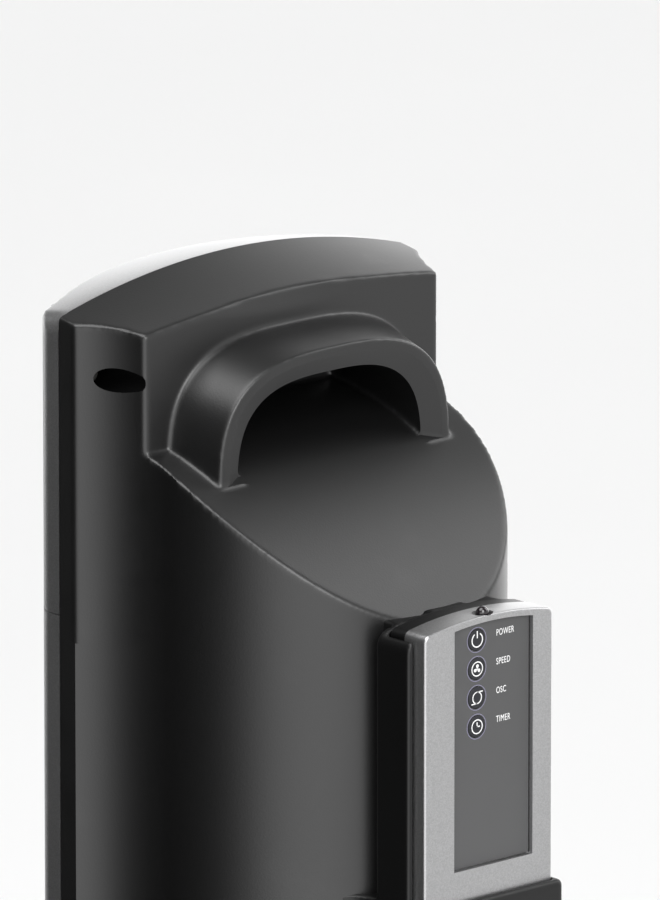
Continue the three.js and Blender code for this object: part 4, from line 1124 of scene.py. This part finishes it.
class FAN_OT_screws(Operator):
    """Shell screws with cross recesses"""
    bl_idname = "fan.screws"
    bl_label = "Shell screws"

    def execute(self, context):
        for name in sorted(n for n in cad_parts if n.startswith("shell_screw")):
            low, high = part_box(name)
            at = (low + high) / 2
            head = rod((high.x - low.x) / 2, (at.x, high.y - 2.4 * MM, at.z), (at.x, high.y, at.z), 40)
            rim = [e for e in sharp_edges(head) if e.verts[0].co.y > high.y - 1 * MM]
            round_edges(head, rim, 0.8 * MM, 4)
            screw = to_object(f"{name}_turned", head)
            for half_x, half_z in ((1.8, 0.4), (0.4, 1.8)):
                carve(screw, block((at.x - half_x * MM, high.y - 1.4 * MM, at.z - half_z * MM),
                                   (at.x + half_x * MM, high.y + 1 * MM, at.z + half_z * MM)))
            carve(screw, rod(1.5 * MM, (at.x, low.y, at.z), (at.x, high.y - 2 * MM, at.z), 24), "UNION")
            finished(by_angle(screw, 30), MATERIALS["zinc"], "tower", "steel", name)
        return {"FINISHED"}


INNER_FINISH = {
    "dark": ("base_plate", "swivel_yoke", "tower_floor", "motor_bulkhead", "bearing_spider", "blower_wheel",
             "scroll_duct", "cutoff_tongue", "motor_capacitor"),
    "steel": ("ballast_weight", "swivel_motor", "fan_motor", "motor_shaft"),
    "bronze": ("bearing_bush",),
    "nylon": ("swivel_crank",),
    "board": ("control_board",),
    "window": ("ir_receiver",),
}


class FAN_OT_inner_finishes(Operator):
    """Finishes of the inner pieces that keep their CAD shape"""
    bl_idname = "fan.inner_finishes"
    bl_label = "Inner finishes"

    def execute(self, context):
        for finish, nodes in INNER_FINISH.items():
            for node in nodes:
                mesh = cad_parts[node].data
                mesh.materials.clear()
                mesh.materials.append(MATERIALS[finish])
        return {"FINISHED"}


# ---- stage ----
AIM = Vector((-4.4 * MM, 4.0 * MM, SEAM_Z - 54.7 * MM))
VIEW_AZIMUTH, VIEW_ELEVATION = 137.5, 14.5
VIEW_HEIGHT = 321.4 * MM
SENSOR = 36
DISTANCE = 6.0
# each lamp's azimuth, elevation, reach, width, height and the setting that gives its power
LAMPS = {
    "key_lamp": (165, 35, 2.6, 1.4, 1.6, "key_power"),
    "rim_lamp": (252, 34, 2.4, 0.9, 1.4, "rim_power"),
    "front_lamp": (8, 4, 2.6, 1.2, 1.6, "front_power"),
}


def toward(azimuth, elevation, reach, start=AIM):
    """A point at an azimuth and elevation, in degrees, from a start: azimuth 0 is the front."""
    a, e = math.radians(azimuth), math.radians(elevation)
    return start + Vector((math.sin(a) * math.cos(e), -math.cos(a) * math.cos(e), math.sin(e))) * reach


def hang(name, data, azimuth, elevation, reach):
    """Hangs a lamp or a camera off the aim and turns it to the aim."""
    holder = bpy.data.objects.new(name, data)
    holder.location = toward(azimuth, elevation, reach)
    holder.rotation_euler = (AIM - holder.location).to_track_quat("-Z", "Y").to_euler()
    bpy.context.scene.collection.objects.link(holder)
    return holder


class FAN_OT_stage(Operator):
    """Pale floor, surroundings that darken to one side, soft lamps and the camera"""
    bl_idname = "fan.stage"
    bl_label = "Stage"

    def execute(self, context):
        scene, look = context.scene, context.scene.fan_look
        scene.view_settings.view_transform = "Standard"
        room = Paint("pale_room", "worlds", "Background", "Generated")

        def near(azimuth, elevation, edge, core):
            """Rises to 1 as the view turns to a direction; edge and core are cosines."""
            way = toward(azimuth, elevation, 1, Vector((0, 0, 0)))
            turn = room.node("ShaderNodeVectorMath", {"operation": "DOT_PRODUCT"}, room.place, way,
                             out="Value")
            return room.between(turn, edge, core)

        dark, ceiling = near(look.dark_azimuth, 0, 0.22, 0.84), near(0, 90, 0.2, 0.64)
        light = (1 - dark * 0.99) * (1 - ceiling * 0.8) * look.room_light
        glow = near(137, 0, 0.7, 0.95) * look.glow_light + near(300, 5, 0.75, 0.97) * look.far_glow
        scene.world = room.finish(Color=(1, 1, 1, 1), Strength=light + glow)
        bm = bmesh.new()
        bmesh.ops.create_grid(bm, x_segments=1, y_segments=1, size=15)
        floor = to_object("floor", bm, False)
        paint = Paint("pale_floor")
        cloud = paint.noise(2, 2, 0.5)
        colour = paint.mix(cloud, grey(0.86), grey(0.9))
        floor.data.materials.append(paint.finish(Base_Color=colour, Roughness=0.7))
        floor.visible_glossy = False
        for name, (azimuth, elevation, reach, width, height, power) in LAMPS.items():
            light = bpy.data.lights.new(name, "AREA")
            light.shape, light.size, light.size_y = "RECTANGLE", width, height
            light.energy = getattr(look, power)
            hang(name, light, azimuth, elevation, reach)
        light = bpy.data.lights.new("ceiling_lamp", "SUN")
        light.energy, light.angle = look.top_power, math.radians(50)
        holder = bpy.data.objects.new("ceiling_lamp", light)
        holder.rotation_euler = (0, math.radians(20), 0)
        scene.collection.objects.link(holder)
        camera = bpy.data.cameras.new("view")
        camera.sensor_width = SENSOR
        camera.lens = SENSOR * DISTANCE / VIEW_HEIGHT
        camera.clip_end = 100
        scene.camera = hang("view", camera, VIEW_AZIMUTH, VIEW_ELEVATION, DISTANCE)
        return {"FINISHED"}


# ---- settings and panel ----
class FanLook(PropertyGroup):
    """Sizes and finishes that a user would change"""
    shell_tone: FloatProperty(
        name="Shell tone", description="Reflectance of the black mouldings",
        default=0.0024, min=0, max=1, subtype="FACTOR")
    shell_roughness: FloatProperty(
        name="Shell roughness", description="Roughness of the black mouldings",
        default=0.37, min=0, max=1, subtype="FACTOR")
    silver_tone: FloatProperty(
        name="Silver tone", description="Reflectance of the silver paint",
        default=0.5, min=0, max=1, subtype="FACTOR")
    panel_tone: FloatProperty(
        name="Key panel tone", description="Reflectance of the remote's key panel",
        default=0.07, min=0, max=1, subtype="FACTOR")
    shell_voxel: FloatProperty(
        name="Shell detail", description="Mesh step of the rear shell's top",
        default=0.9 * MM, unit="LENGTH", precision=5)
    head_voxel: FloatProperty(
        name="Head detail", description="Mesh step of the control head",
        default=0.95 * MM, unit="LENGTH", precision=5)
    pod_voxel: FloatProperty(
        name="Pod detail", description="Mesh step of the remote's pod",
        default=0.8 * MM, unit="LENGTH", precision=5)
    slat_pitch: FloatProperty(
        name="Slat pitch", description="Distance between upright slats of the rear grille",
        default=4.6 * MM, unit="LENGTH", precision=5)
    bar_pitch: FloatProperty(
        name="Bar pitch", description="Distance between cross bars of the grilles",
        default=22 * MM, unit="LENGTH", precision=5)
    room_light: FloatProperty(
        name="Room light", description="Strength of the pale surroundings",
        default=0.85, min=0)
    glow_light: FloatProperty(
        name="Room glow", description="Strength of the bright part of the surroundings",
        default=1.0, min=0)
    far_glow: FloatProperty(
        name="Far glow", description="Strength of the bright part beyond the fan",
        default=1.3, min=0)
    dark_azimuth: FloatProperty(
        name="Dark side", description="Degrees from the front to the dark side of the room",
        default=45)
    key_power: FloatProperty(
        name="Key lamp", description="Power of the key lamp in watts",
        default=45, min=0)
    rim_power: FloatProperty(
        name="Rim lamp", description="Power of the lamp at the far side in watts",
        default=14, min=0)
    front_power: FloatProperty(
        name="Front lamp", description="Power of the lamp before the fan in watts",
        default=12, min=0)
    top_power: FloatProperty(
        name="Ceiling lamp", description="Strength of the light from above",
        default=2.2, min=0)


PIECES = ("rear_shell", "front_head", "front_frame", "grilles", "remote_pod", "remote_shells", "remote_keys",
          "base", "head_keys", "screws", "inner_finishes", "stage")


class FAN_PT_panel(Panel):
    """Lists the fan's settings and pieces"""
    bl_label = "Tower fan"
    bl_idname = "FAN_PT_panel"
    bl_space_type = "VIEW_3D"
    bl_region_type = "UI"
    bl_category = "Tower fan"

    def draw(self, context):
        for name in FanLook.__annotations__:
            self.layout.prop(context.scene.fan_look, name)
        for piece in PIECES:
            self.layout.operator(f"fan.{piece}")


CLASSES = (FanLook, FAN_OT_rear_shell, FAN_OT_front_head, FAN_OT_front_frame, FAN_OT_grilles,
           FAN_OT_remote_pod, FAN_OT_remote_shells, FAN_OT_remote_keys, FAN_OT_base, FAN_OT_head_keys,
           FAN_OT_screws, FAN_OT_inner_finishes, FAN_OT_stage, FAN_PT_panel)


def register():
    for cls in CLASSES:
        bpy.utils.register_class(cls)
    bpy.types.Scene.fan_look = PointerProperty(type=FanLook)


def unregister():
    del bpy.types.Scene.fan_look
    for cls in reversed(CLASSES):
        bpy.utils.unregister_class(cls)


def main():
    register()
    mix_materials()
    for piece in PIECES:
        getattr(bpy.ops.fan, piece)()


if __name__ == "__main__":
    main()
